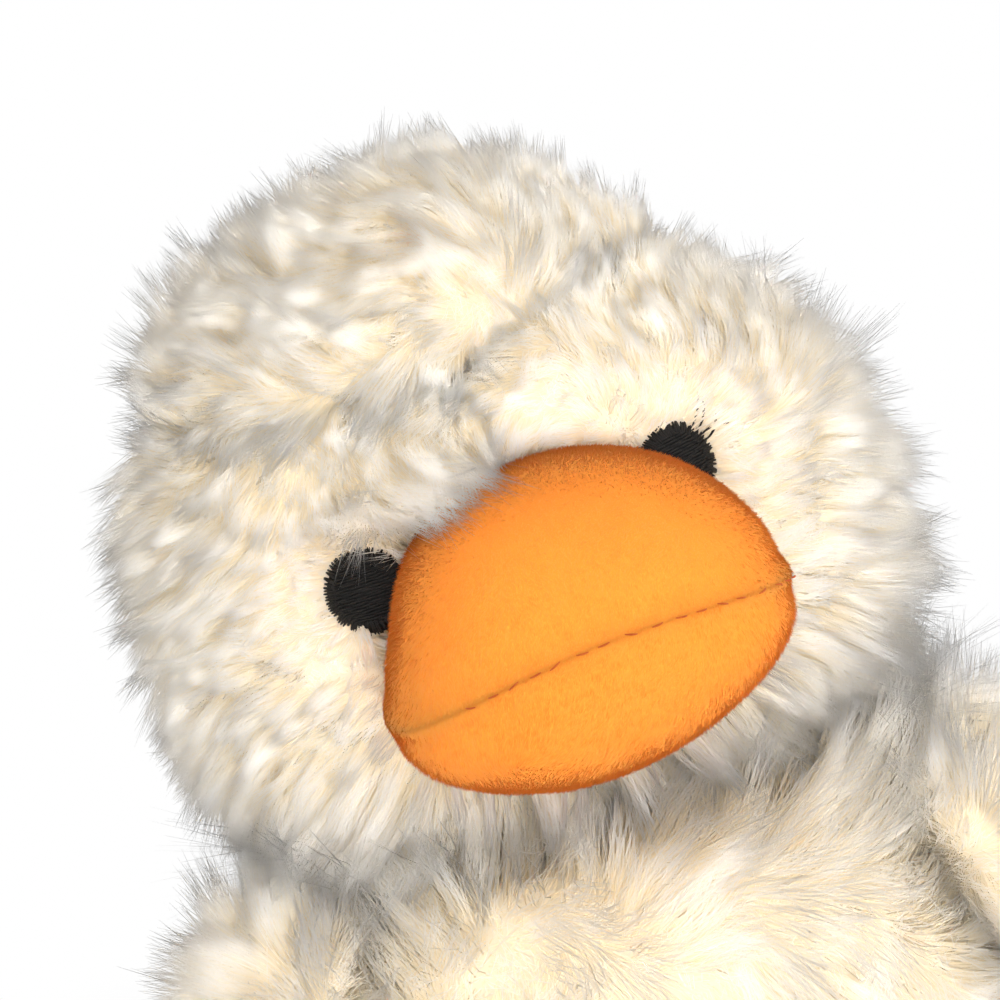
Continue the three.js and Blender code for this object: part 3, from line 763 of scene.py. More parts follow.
class PileTree:
    """Geometry Nodes tree that grows combed and tufted fibres on a skin."""

    @staticmethod
    @cache
    def build() -> bpy.types.NodeTree:
        """Builds the tree: roots on the skin, a bent ribbon on each, tips drawn together in tufts."""
        whole = ("segments", "seed")
        inputs = {"skin": ("NodeSocketGeometry", None)}
        for item in fields(Pile):
            inputs[item.name] = ("NodeSocketInt" if item.name in whole else "NodeSocketFloat", None)
        inputs["finish"] = ("NodeSocketMaterial", None)
        graph = Graph.group("pile_on_skin", "GeometryNodeTree", inputs, {"cover": "NodeSocketGeometry"})
        skin, seed = graph.entering("skin"), graph.entering("seed")

        def spread(density: Field, step: int) -> Field:
            """Points strewn over the skin."""
            values = {"Mesh": skin, "Density": density, "Seed": seed + step}
            return graph.first(graph.node("GeometryNodeDistributePointsOnFaces", values))

        sown = spread(graph.entering("density") * graph.attribute("pile_share"), 0)
        tufts = spread(graph.entering("tufts"), 1)
        everywhere = ((-1.0, -1.0, -1.0), (1.0, 1.0, 1.0))
        root = graph.first(graph.node("GeometryNodeInputPosition"))
        comb = graph.attribute("comb", "FLOAT_VECTOR")
        normal = graph.attribute("skin_normal", "FLOAT_VECTOR")
        length = graph.attribute("pile_length") * graph.random(0.72, 1.12, seed + 2)
        stand = normal * graph.entering("rise") + comb * graph.entering("lean")
        own_tip = root + stand * length
        tuft_tip = own_tip + graph.random(*everywhere, seed + 3) * (length * graph.entering("stray"))
        nearest = graph.first(graph.node("GeometryNodeSampleNearest", {"Geometry": tufts}))
        drawn = graph.first(graph.node("GeometryNodeSampleIndex",
                                       {"Geometry": tufts, "Value": tuft_tip, "Index": nearest},
                                       data_type="FLOAT_VECTOR"))
        pull = graph.entering("pull") * graph.random(0.45, 1.0, seed + 4)
        wander = graph.random(*everywhere, seed + 5)
        tip = own_tip.toward(drawn, pull) + wander * (length * graph.entering("scatter"))
        bend = normal * 0.3 + comb * 0.32 + graph.random(*everywhere, seed + 6) * 0.09
        middle = root + bend * length
        roll = normal + graph.random(*everywhere, seed + 7) * graph.entering("roll")
        across = (tip - root).cross(roll).unit()
        lock = graph.first(graph.node("GeometryNodeSampleIndex",
                                      {"Geometry": tufts, "Value": graph.random(-0.16, 0.16, seed + 9),
                                       "Index": nearest}, data_type="FLOAT"))
        tone = graph.attribute("pile_tone") + lock + graph.random(-0.1, 0.1, seed + 8)
        bounded = graph.first(graph.node("ShaderNodeClamp", {"Value": tone, "Min": 0.01, "Max": 0.99}))
        held = {"root": root, "middle": middle, "tip": tip, "across": across, "normal": normal}
        for name, value in held.items():
            sown = graph.stored(sown, f"strand_{name}", value, "FLOAT_VECTOR")
        sown = graph.stored(sown, "strand_tone", bounded)
        thin = graph.arithmetic("MAXIMUM", graph.attribute("pile_share"), 0.15)
        sown = graph.stored(sown, "strand_width", graph.arithmetic("POWER", thin, -0.6) * graph.entering("width"))

        ribbon = graph.node("GeometryNodeMeshGrid", {"Size X": 2.0, "Size Y": 1.0, "Vertices X": 2,
                                                     "Vertices Y": graph.entering("segments") + 1})
        east, north, _ = graph.split(graph.first(graph.node("GeometryNodeInputPosition")))
        blade = graph.stored(graph.first(ribbon), "strand_side", east)
        blade = graph.stored(blade, "strand_height", north + 0.5)
        copies = graph.first(graph.node("GeometryNodeInstanceOnPoints", {"Points": sown, "Instance": blade}))
        strands = graph.first(graph.node("GeometryNodeRealizeInstances", {"Geometry": copies}))

        height, side = graph.attribute("strand_height"), graph.attribute("strand_side")
        start, elbow, end, breadth = (graph.attribute(f"strand_{name}", "FLOAT_VECTOR")
                                      for name in ("root", "middle", "tip", "across"))
        lower = start.toward(elbow, height)
        upper = elbow.toward(end, height)
        line = lower.toward(upper, height)
        taper = (height * height * -0.9 + 1.0) * graph.attribute("strand_width") * 0.5
        spot_x, spot_y, spot_z = graph.split(line + breadth * (side * taper))
        kept_up = graph.arithmetic("MAXIMUM", spot_z, graph.entering("lowest"))
        place = graph.joined(spot_x, spot_y, kept_up)
        strands = graph.first(graph.node("GeometryNodeSetPosition", {"Geometry": strands, "Position": place}))
        column = graph.attribute("strand_tone") + side * 0.003
        strands = graph.stored(strands, BAKE_MAP, graph.joined(column, height * 0.96 + 0.02, 0.0),
                               "FLOAT2", "CORNER")
        backing = graph.stored(skin, BAKE_MAP, (0.3, 0.3, 0.0), "FLOAT2", "CORNER")
        backing = graph.stored(backing, "strand_normal", normal, "FLOAT_VECTOR")
        both = graph.node("GeometryNodeJoinGeometry")
        for part in (strands, backing):
            graph.tree.links.new(part.socket, both.inputs[0])
        smooth = graph.first(graph.node("GeometryNodeSetShadeSmooth", {"Geometry": graph.first(both)}))
        own = graph.first(graph.node("GeometryNodeInputNormal"))
        outward = graph.attribute("strand_normal", "FLOAT_VECTOR") * graph.entering("softness")
        facing = (own + breadth * (side * ROUNDNESS) + outward).unit()
        shaded = graph.first(graph.node("GeometryNodeSetMeshNormal", {"Mesh": smooth}, mode="FREE", domain="POINT"))
        graph.feed(pick(shaded.socket.node.inputs, "Custom Normal"), facing)
        values = {"Geometry": shaded, "Material": graph.entering("finish")}
        graph.leave("cover", graph.first(graph.node("GeometryNodeSetMaterial", values)))
        return graph.tree


def set_inputs(modifier: bpy.types.Modifier, values: Dict[str, Any]) -> None:
    """Sets a node modifier's inputs, each by its socket's identifier."""
    for item in modifier.node_group.interface.items_tree:
        if item.in_out == "INPUT" and item.name in values:
            modifier[item.identifier] = values[item.name]


def grown(name: str, skin: bpy.types.Mesh, pile: Pile, finish: FibreFinish) -> bpy.types.Object:
    """A cover: a skin with its pile.

    Args:
        name: The piece's name.
        skin: The backing, with the groom written on it.
        pile: How the fibres stand.
        finish: Their colours.

    Returns:
        The piece, as a plain mesh.
    """
    bed = linked(name + "_bed", skin)
    modifier = bed.modifiers.new("pile", "NODES")
    modifier.node_group = PileTree.build()
    set_inputs(modifier, {**asdict(pile), "finish": finish.material()})
    mesh = settled(bed)
    mesh.name = name
    for attribute in [item.name for item in mesh.attributes]:
        if attribute.startswith(("strand_", "pile_")) or attribute in ("comb", "skin_normal"):
            mesh.attributes.remove(mesh.attributes[attribute])
    return linked(name, mesh)


def groomed_skin(mesh: bpy.types.Mesh, thickness: float, rule: GroomRule, place: Matrix) -> bpy.types.Mesh:
    """Gives an open panel its thickness and writes the groom on its outside.

    Args:
        mesh: The panel's outside, in the sub-assembly's own frame.
        thickness: Of the backing.
        rule: The groom at given points and normals, in that frame.
        place: The frame's place in the whole.

    Returns:
        A closed backing in the whole's frame.
    """
    outside, normals = positions(mesh), stored_normals(mesh)
    groom = rule(outside, normals)
    count = len(outside)
    faces = [tuple(polygon.vertices) for polygon in mesh.polygons]
    edges = {(face[i - 1], face[i]) for face in faces for i in range(len(face))}
    rim = [(b, a, a + count, b + count) for a, b in edges if (b, a) not in edges]
    inside = [tuple(corner + count for corner in reversed(face)) for face in faces]
    backing = bpy.data.meshes.new(mesh.name)
    backing.from_pydata(np.vstack([outside, outside - normals * thickness]).tolist(), [], faces + inside + rim)
    backing.transform(place)
    backing.update()
    turn = np.array(place.to_3x3())
    flat = np.zeros(count)
    vectors = {"comb": groom.comb @ turn.T, "skin_normal": normals @ turn.T}
    numbers = {"pile_length": (groom.length, groom.length), "pile_share": (groom.share, flat),
               "pile_tone": (groom.tone, groom.tone)}
    for name, value in vectors.items():
        layer = backing.attributes.new(name, "FLOAT_VECTOR", "POINT")
        layer.data.foreach_set("vector", np.vstack([value, -value]).astype(np.float32).ravel())
    for name, (outer, inner) in numbers.items():
        layer = backing.attributes.new(name, "FLOAT", "POINT")
        layer.data.foreach_set("value", np.concatenate([outer, inner]).astype(np.float32))
    return backing


# Stitches


class StitchTree:
    """Geometry Nodes tree that lays a thread along each run of edges."""

    @staticmethod
    @cache
    def build() -> bpy.types.NodeTree:
        """Builds the tree: each run becomes a raised curve, and the curve a tapered thread."""
        inputs = {"runs": ("NodeSocketGeometry", None), "thickness": ("NodeSocketFloat", 0.0004),
                  "loft": ("NodeSocketFloat", 0.0002), "points": ("NodeSocketInt", 6),
                  "finish": ("NodeSocketMaterial", None)}
        graph = Graph.group("thread_on_runs", "GeometryNodeTree", inputs, {"thread": "NodeSocketGeometry"})
        curve = graph.first(graph.node("GeometryNodeMeshToCurve", {"Mesh": graph.entering("runs")}))
        values = {"Curve": curve, "Count": graph.entering("points")}
        curve = graph.first(graph.node("GeometryNodeResampleCurve", values))
        along = graph.first(graph.node("GeometryNodeSplineParameter"))
        arch = graph.first(graph.node("ShaderNodeMath", {0: along * math.pi}, operation="SINE"))
        lift = graph.attribute("stitch_normal", "FLOAT_VECTOR") * (arch * graph.entering("loft"))
        curve = graph.first(graph.node("GeometryNodeSetPosition", {"Geometry": curve, "Offset": lift}))
        swell = arch * 0.45 + 0.55
        curve = graph.first(graph.node("GeometryNodeSetCurveRadius", {"Curve": curve, "Radius": swell}))
        half = graph.entering("thickness") * 0.5
        ring = graph.first(graph.node("GeometryNodeCurvePrimitiveCircle", {"Resolution": 5, "Radius": half}))
        values = {"Curve": curve, "Profile Curve": ring, "Scale": swell, "Fill Caps": True}
        to_mesh = graph.node("GeometryNodeCurveToMesh")
        for label, value in values.items():
            if label in [socket.name for socket in to_mesh.inputs]:
                graph.feed(to_mesh.inputs[label], value)
        thread = graph.first(graph.node("GeometryNodeSetShadeSmooth", {"Geometry": graph.first(to_mesh)}))
        whole = graph.first(graph.node("GeometryNodeRealizeInstances", {"Geometry": thread}))
        values = {"Geometry": whole, "Material": graph.entering("finish")}
        graph.leave("thread", graph.first(graph.node("GeometryNodeSetMaterial", values)))
        return graph.tree


@dataclass
class Runs:
    """Lines that thread follows, each with the direction in which it stands up."""

    points: List[np.ndarray] = field(default_factory=list)
    normals: List[np.ndarray] = field(default_factory=list)
    edges: List[Tuple[int, int]] = field(default_factory=list)

    def add(self, line: Sequence[np.ndarray], normal: np.ndarray) -> None:
        """Adds a run through the points of a line."""
        start = len(self.points)
        self.points.extend(line)
        self.normals.extend([normal] * len(line))
        self.edges.extend((start + i, start + i + 1) for i in range(len(line) - 1))

    def sewn(self, name: str, thickness: float, loft: float, finish: GrainFinish, place: Matrix,
             points: int = 6) -> bpy.types.Mesh:
        """The thread along the runs.

        Args:
            name: The mesh's name.
            thickness: Of the thread.
            loft: How high it stands in the middle of a run.
            finish: Its finish.
            place: The runs' frame in the whole.
            points: How many points a run is drawn with.

        Returns:
            A plain mesh in the whole's frame.
        """
        mesh = bpy.data.meshes.new(name)
        mesh.from_pydata([tuple(point) for point in self.points], self.edges, [])
        mesh.transform(place)
        layer = mesh.attributes.new("stitch_normal", "FLOAT_VECTOR", "POINT")
        turned_normals = np.array(self.normals) @ np.array(place.to_3x3()).T
        layer.data.foreach_set("vector", turned_normals.astype(np.float32).ravel())
        bed = linked(name + "_runs", mesh)
        modifier = bed.modifiers.new("thread", "NODES")
        modifier.node_group = StitchTree.build()
        set_inputs(modifier, {"thickness": thickness, "loft": loft, "points": points, "finish": finish.material()})
        thread = settled(bed)
        if "stitch_normal" in thread.attributes:
            thread.attributes.remove(thread.attributes["stitch_normal"])
        return thread


# Pieces on the frame


def seat(piece: bpy.types.Object, body: str, nodes: Sequence[str] = ()
         ) -> None:
    """Puts a finished piece on the frame.

    Args:
        piece: The piece.
        body: The body that it rides on.
        nodes: The CAD nodes that it stands for.
    """
    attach(piece, body)
    if nodes:
        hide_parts(*nodes)
    triangles = len(piece.data.loops) - 2 * len(piece.data.polygons)
    LOG.info("%s on %s: %d triangles", piece.name, body, triangles)


def inflated(mesh: bpy.types.Mesh, held: np.ndarray, pressure: float, cap: float) -> bpy.types.Mesh:
    """Blows a sewn pad up as cloth, with some of its points held.

    Args:
        mesh: The closed pad.
        held: 1 where a point stays, 0 where it is free.
        pressure: Of the filling.
        cap: How far a point may move.

    Returns:
        The pad's mesh, with its points moved.
    """
    rest = positions(mesh)
    pad = linked("pad_in_cloth", mesh.copy())
    group = pad.vertex_groups.new(name="held")
    for index in np.nonzero(held > 0)[0]:
        group.add([int(index)], float(held[index]), "REPLACE")
    cloth = pad.modifiers.new("cloth", "CLOTH")
    cloth.settings.quality = 6
    cloth.settings.mass = 0.2
    cloth.settings.use_pressure = True
    cloth.settings.uniform_pressure_force = pressure
    cloth.settings.vertex_group_mass = group.name
    cloth.settings.effector_weights.gravity = 0.0
    cloth.point_cache.frame_start = 1
    cloth.point_cache.frame_end = 20
    scene = bpy.context.scene
    for step in range(1, 21):
        scene.frame_set(step)
    blown = settled(pad)
    shift = positions(blown) - rest
    size = np.linalg.norm(shift, axis=1, keepdims=True)
    scene.frame_set(1)
    move_points(mesh, rest + shift * np.minimum(1.0, cap / np.maximum(size, 1e-9)))
    return mesh


def subdivided(mesh: bpy.types.Mesh, levels: int) -> bpy.types.Mesh:
    """The mesh after smooth subdivision."""
    work = linked("subdivided", mesh)
    modifier = work.modifiers.new("finer", "SUBSURF")
    modifier.levels = levels
    modifier.render_levels = levels
    return settled(work)


NECK_PLACE = Vector((0.0, 0.0, 0.118))
BACKING = 0.001
HIDDEN_DEPTH = 0.007
UP = Vector((0, 0, 1))


@dataclass
class Torso:
    """The body's cover: belly, two backs and seat."""

    form: PlumpForm = PlumpForm(
        half_width=0.058, half_depth=0.052, above=0.094, below=0.047, full_above=2.6, full_below=2.6,
        centre=(0.0, 0.0, 0.038),
    )
    root_inset: float = 0.0018
    seat_lift: float = 0.0012
    seat_seam_height: float = 0.010
    side_seam_y: float = 0.016
    shoulder_slope: float = math.radians(10)
    neck_room: float = 0.0015
    neck_hole: float = 0.019
    long_pile: float = 0.015
    collar_pile: float = 0.011
    shoulder_pile: float = 0.014
    shoulder: Tuple[float, float, float] = (0.0508, -0.018, 0.103)
    seat_pile: float = 0.0025
    seam_dip: float = 0.001
    seam_width: float = 0.005
    tousle: float = math.radians(42)
    pile: Pile = Pile(density=3.4e6, tufts=9.0e4, width=0.00018, rise=0.34, lean=0.82, pull=0.62, stray=0.5,
                      scatter=0.12, softness=0.9, lowest=0.0003, seed=20)

    def skin(self) -> bpy.types.Mesh:
        """The whole body's backing, cut down under the head and flat at the seat."""
        mesh = self.form.mesh("body_skin", self.root_inset, sides=128, rings=80)
        points = positions(mesh)
        reach = np.hypot(points[:, 0], points[:, 1])
        ceiling = NECK_PLACE.z - reach * math.tan(self.shoulder_slope) - self.neck_room
        points[:, 2] = np.clip(points[:, 2], self.seat_lift, ceiling)
        move_points(mesh, points)
        hidden = (reach < self.neck_hole) & (points[:, 2] > self.form.centre[2])
        return without(mesh, hidden)

    def groom(self, points: np.ndarray, normals: np.ndarray) -> Groom:
        """The body's pile: combed down and outwards, tousled, up at the collar, short under the seat."""
        x, y, z = points.T
        count = len(points)
        side = np.sign(x)
        fall = np.stack([0.55 * np.clip(x / 0.03, -1.0, 1.0), np.full(count, -0.2), -np.ones(count)], axis=1)
        collar = ramp(z, 0.088, 0.110) * (0.6 + 0.4 * ramp(-y, -0.01, 0.02))
        angles = self.tousle * (noise_at(points, 0.018, 3.0) + 0.9 * noise_at(points, 0.007, 4.0)) * 2.1
        comb = turned(tangent(fall, normals), normals, angles + collar * (3.9 - 1.6 * ramp(x, -0.045, -0.01)))
        comb = comb + (normals - comb) * (0.5 * collar)[:, None]
        shoulder = np.stack([np.abs(x), y, z], axis=1) - np.array(self.shoulder)
        near = 1 - ramp(np.linalg.norm(shoulder, axis=1), 0.012, 0.036)
        outward = tangent(np.stack([0.55 * side, np.full(count, -0.35), np.full(count, 0.9)], axis=1), normals)
        comb = blend(comb, 0.95 * outward + 0.1 * normals, near)
        under = ramp(-normals[:, 2], 0.55, 0.9)
        rim = ramp(points[:, 2], 0.004, 0.03)
        length = self.seat_pile + (self.long_pile - self.seat_pile) * (1 - under) * (0.35 + 0.65 * rim)
        length = length + self.collar_pile * collar + self.shoulder_pile * near
        length *= 1.0 + 0.14 * noise_at(points, 0.012, 5.0)
        tone = 0.34 + 0.3 * noise_at(points, 0.02, 6.0)
        share = 0.25 + 0.52 * ramp(points[:, 2], 0.045, 0.075) + 0.2 * collar
        return Groom(comb, length, share, np.clip(tone, 0.05, 0.6))

    def dipped(self, mesh: bpy.types.Mesh) -> bpy.types.Mesh:
        """The backing drawn in along its seams."""
        points, normals = positions(mesh), normals_of(mesh)
        side = np.abs(points[:, 1] - self.side_seam_y)
        middle = np.where(points[:, 1] > self.side_seam_y, np.abs(points[:, 0]), 1.0)
        near = np.minimum(side, middle) / self.seam_width
        move_points(mesh, points - normals * (self.seam_dip * np.exp(-near * near))[:, None])
        return mesh

    def build(self) -> None:
        """Makes the four covers and seats them."""
        whole = self.dipped(self.skin())
        seam = Vector((0, self.side_seam_y, 0))
        base = Vector((0, 0, self.seat_seam_height))
        front, left = Vector((0, -1, 0)), Vector((1, 0, 0))
        panels = {
            "belly": [(base, UP), (seam, front)],
            "left_back": [(base, UP), (seam, -front), (Vector(), left)],
            "right_back": [(base, UP), (seam, -front), (Vector(), -left)],
            "seat": [(base, -UP)],
        }
        for number, (name, planes) in enumerate(panels.items()):
            skin = groomed_skin(sliced(whole, planes), BACKING, self.groom, Matrix())
            pile = replace(self.pile, seed=self.pile.seed + number)
            if name != "belly":
                pile = replace(pile, density=pile.density * 0.9, width=pile.width * 1.3)
            piece = grown(f"{name}_cover", skin, pile, LOOSE_PILE)
            seat(piece, "torso", [f"{name}_panel"])


@dataclass
class Bill:
    """The bill: two orange panels sewn round their edge, and the seam's stitches."""

    form: PadForm = PadForm(length=0.075, root_depth=-0.021, root_half_width=0.0305, tip_half_width=0.0305,
                            half_thickness=0.024, squareness=2.3)
    rise: float = 0.032
    head_forward: float = 0.004
    nap: float = 0.0013
    nap_inset: float = 0.0011
    pressure: float = 3.0
    swell_cap: float = 0.0008
    seam_bow: float = 0.0055
    left_waist: float = 0.10
    right_reach: float = 0.06
    pile: Pile = Pile(density=1.35e7, tufts=9.0e5, width=0.00014, rise=0.5, lean=0.7, pull=0.3, stray=0.2,
                      scatter=0.16, segments=1, seed=60)
    stitch_length: float = 0.0017
    stitch_pitch: float = 0.0034
    stitched: Tuple[float, float] = (-0.75, 1.25)
    thread: float = 0.00032
    thread_loft: float = 0.0003
    face_depth: float = 0.009

    @property
    def place(self) -> Matrix:
        """The bill's frame in the head's."""
        return Matrix.Translation((0, -self.head_forward, self.rise)) @ Matrix.Rotation(-math.pi / 2, 4, "Z")

    def level(self, head_points: np.ndarray) -> np.ndarray:
        """How far out points of the head's frame lie from the bill's middle: 1 on the bill."""
        return self.form.level(placed(head_points, self.place.inverted()))

    def shaped(self, points: np.ndarray) -> np.ndarray:
        """Points of the even pad after sewing: seam bowed up at the tip, slimmer by the right eye, fuller left."""
        across = points[:, 1] / self.form.root_half_width
        rise = points[:, 2] / self.form.half_thickness
        moved = points.copy()
        waist = self.left_waist * ramp(rise, -0.1, 0.45) * ramp(-across, 0.1, 0.7)
        reach = self.right_reach * ramp(across, 0.2, 0.9)
        moved[:, 1] *= 1.0 - waist + reach
        moved[:, 2] += self.seam_bow * (0.15 - across * across) * (1.0 - rise * rise)
        return moved

    def seam_height(self, points: np.ndarray) -> np.ndarray:
        """How far points of the shaped pad lie over its seam."""
        across = points[:, 1] / self.form.root_half_width
        return points[:, 2] - self.seam_bow * (0.15 - np.minimum(across * across, 1.2))

    def groom(self, points: np.ndarray, normals: np.ndarray) -> Groom:
        """The bill's nap, brushed forward and down, with faint rows below the seam."""
        down = np.tile(np.array([0.8, -0.5, -0.7]), (len(points), 1))
        angles = 0.8 * noise_at(points, 0.011, 8.0)
        comb = turned(tangent(down, normals), normals, angles)
        over = self.seam_height(points)
        rows = 0.5 + 0.5 * np.sin(over / 0.0019 * 2 * math.pi)
        below = ramp(-over, 0.0005, 0.002) * ramp(over, -0.017, -0.008)
        patches = noise_at(points, 0.004, 9.0)
        tone = 0.24 + 0.16 * patches + 0.22 * rows * below
        seam = np.exp(-(over / 0.0012) ** 2)
        length = self.nap * (1.0 - 0.45 * seam + 0.2 * patches)
        return Groom(comb, length, np.ones(len(points)), np.clip(tone + 0.12 * seam, 0.03, 0.62))

    def skin(self, face: PlumpForm) -> bpy.types.Mesh:
        """The bill's backing, blown up, with a ridge along the seam and without what the face hides."""
        mesh = self.form.mesh("bill_skin", self.nap_inset, sides=64, rings=39)
        points = positions(mesh)
        held = (np.abs(points[:, 2]) < 1e-6).astype(float)
        mesh = subdivided(inflated(mesh, held, self.pressure, self.swell_cap), 1)
        points, normals = positions(mesh), normals_of(mesh)
        near = points[:, 2] / 0.0011
        ridge = 0.0004 * np.exp(-near * near) - 0.0004 * np.exp(-((np.abs(near) - 2.6) / 1.6) ** 2)
        angle = np.arctan2(points[:, 1], points[:, 0] - self.form.middle)
        pucker = 0.00016 * np.sin(angle * self.form.half_length / self.stitch_pitch * 2 * math.pi)
        points += normals * (ridge + pucker * np.exp(-(np.abs(near) / 3.5)))[:, None]
        move_points(mesh, points)
        return without(mesh, face.level(placed(points, self.place), self.face_depth) < 1.0)

    def half(self, whole: bpy.types.Mesh, normal: Vector) -> bpy.types.Mesh:
        """The panel on one side of the seam, in its sewn shape."""
        panel = sliced(whole, [(Vector(), normal)])
        move_points(panel, self.shaped(positions(panel)))
        return panel

    def stitches(self) -> Runs:
        """Short stitches along the front of the seam."""
        runs = Runs()
        draws = np.random.default_rng(5)
        angle = self.stitched[0]
        while angle < self.stitched[1]:
            radius = float(self.form.radius(np.array([angle]))[0]) - self.nap_inset + 0.0010
            step = self.stitch_length / radius
            skew = draws.uniform(-0.00035, 0.00035)
            ends = []
            for turn, height in ((angle, skew), (angle + step, -skew)):
                ends.append(np.array([self.form.middle + radius * math.cos(turn), radius * math.sin(turn), height]))
            outward = np.array([math.cos(angle + step / 2), math.sin(angle + step / 2), 0.0])
            runs.add(list(self.shaped(np.array(ends))), outward)
            angle += self.stitch_pitch / radius * draws.uniform(0.85, 1.2)
        return runs

    def build(self, head: Matrix, face: PlumpForm) -> None:
        """Makes the two panels and the stitches and seats them."""
        whole = self.skin(face)
        place = head @ self.place
        for number, (name, normal) in enumerate({"upper": UP, "lower": -UP}.items()):
            skin = groomed_skin(self.half(whole, normal), BACKING, self.groom, place)
            pile = replace(self.pile, seed=self.pile.seed + 20 * number)
            piece = grown(f"bill_{name}_cover", skin, pile, ORANGE_NAP)
            seat(piece, "head", [f"bill_{name}_panel"])
        thread = self.stitches().sewn("bill_seam_stitches", self.thread, self.thread_loft, RUST_THREAD, place)
        seat(linked("bill_seam_stitches", thread), "head")


@dataclass
class Eye:
    """A satin-stitched eye: rows of fill stitches inside a ring of border stitches, on a domed disc."""

    side: Side
    radius: float = 0.0065
    dome: float = 0.0014
    border: float = 0.0021
    border_count: int = 84
    row_pitch: float = 0.00042
    fill_length: float = 0.0026
    thread: float = 0.00046

    def height(self, x: float, y: float) -> float:
        """The dome's height over the eye's plane."""
        return self.dome * (1.0 - (x * x + y * y) / self.radius ** 2)

    def point(self, x: float, y: float, lift: float = 0.0) -> np.ndarray:
        """A point on the dome."""
        return np.array([x, y, self.height(x, y) + lift])

    def runs(self) -> Runs:
        """The fill and border stitches."""
        runs = Runs()
        draws = np.random.default_rng(40 + self.side.value)
        out = np.array([0.0, 0.0, 1.0])
        inner = self.radius - 0.6 * self.border
        for row, y in enumerate(np.arange(-inner, inner, self.row_pitch)):
            reach = math.sqrt(max(inner ** 2 - y ** 2, 0.0))
            x = -reach - (row % 3) * self.fill_length / 3
            while x < reach:
                ends = (max(x, -reach), min(x + self.fill_length, reach))
                if ends[1] - ends[0] > self.fill_length / 4:
                    wobble = draws.uniform(-0.25, 0.25, 2) * self.row_pitch
                    runs.add([self.point(end, y + shift) for end, shift in zip(ends, wobble)], out)
                x += self.fill_length
        for number in range(self.border_count):
            angle = 2 * math.pi * (number + draws.uniform(-0.25, 0.25)) / self.border_count
            start = self.radius - self.border * draws.uniform(0.8, 1.1)
            ends = (start, self.radius + draws.uniform(-0.0001, 0.0002))
            twist = draws.uniform(-0.04, 0.04)
            line = [self.point(r * math.cos(a), r * math.sin(a), 0.00012)
                    for r, a in zip(ends, (angle, angle + twist))]
            runs.add(line, out)
        return runs

    def loose_ends(self) -> Runs:
        """Cut thread ends that stand out past the border of the left eye."""
        runs = Runs()
        out = np.array([0.0, 0.0, 1.0])
        if self.side is Side.LEFT:
            for angle, reach, curl in ((0.58, 0.0046, 0.5), (0.44, 0.0040, -0.4), (0.75, 0.0050, 0.3),
                                       (0.26, 0.0034, 0.5), (2.35, 0.0034, 0.6)):
                line = []
                for share in np.linspace(0.0, 1.0, 5):
                    r = self.radius - 0.0006 + reach * share
                    a = angle + curl * share * share * 0.5
                    line.append(np.array([r * math.cos(a), r * math.sin(a), 0.0006 + 0.0016 * share]))
                runs.add(line, out)
        return runs

    def disc(self) -> bpy.types.Mesh:
        """The domed backing under the stitches."""

        def shape(latitude: np.ndarray, longitude: np.ndarray) -> np.ndarray:
            """The point at a latitude and a longitude."""
            reach = np.cos(latitude) * (self.radius - 0.0002)
            low = np.where(latitude < 0, -0.0007, 1.0)
            dome = self.dome * (1.0 - (reach / self.radius) ** 2) - 0.00012
            up = np.where(latitude < 0, low * np.abs(np.sin(latitude)), dome)
            return np.stack([reach * np.cos(longitude), reach * np.sin(longitude), up], axis=1)

        return ball_mesh("eye_disc", 48, 17, shape)

    def build(self, place: Matrix) -> None:
        """Makes the eye and seats it.

        Args:
            place: The eye's frame, +Z out of the face and +Y up.
        """
        name = f"{self.side.word}_eye"
        parts = [self.runs().sewn(name, self.thread, 0.00016, BLACK_THREAD, place)]
        if self.loose_ends().points:
            parts.append(self.loose_ends().sewn(name, 0.0004, 0.0, BLACK_THREAD, place, points=12))
        disc = self.disc()
        disc.transform(place)
        disc.materials.append(BLACK_THREAD.material())
        parts.append(disc)
        work = bmesh.new()
        for part in parts:
            work.from_mesh(part)
        mesh = poured(work, f"{name}_embroidery")
        mesh.materials.append(BLACK_THREAD.material())
        mesh.shade_smooth()
        seat(linked(f"{name}_embroidery", mesh), "head", [name])


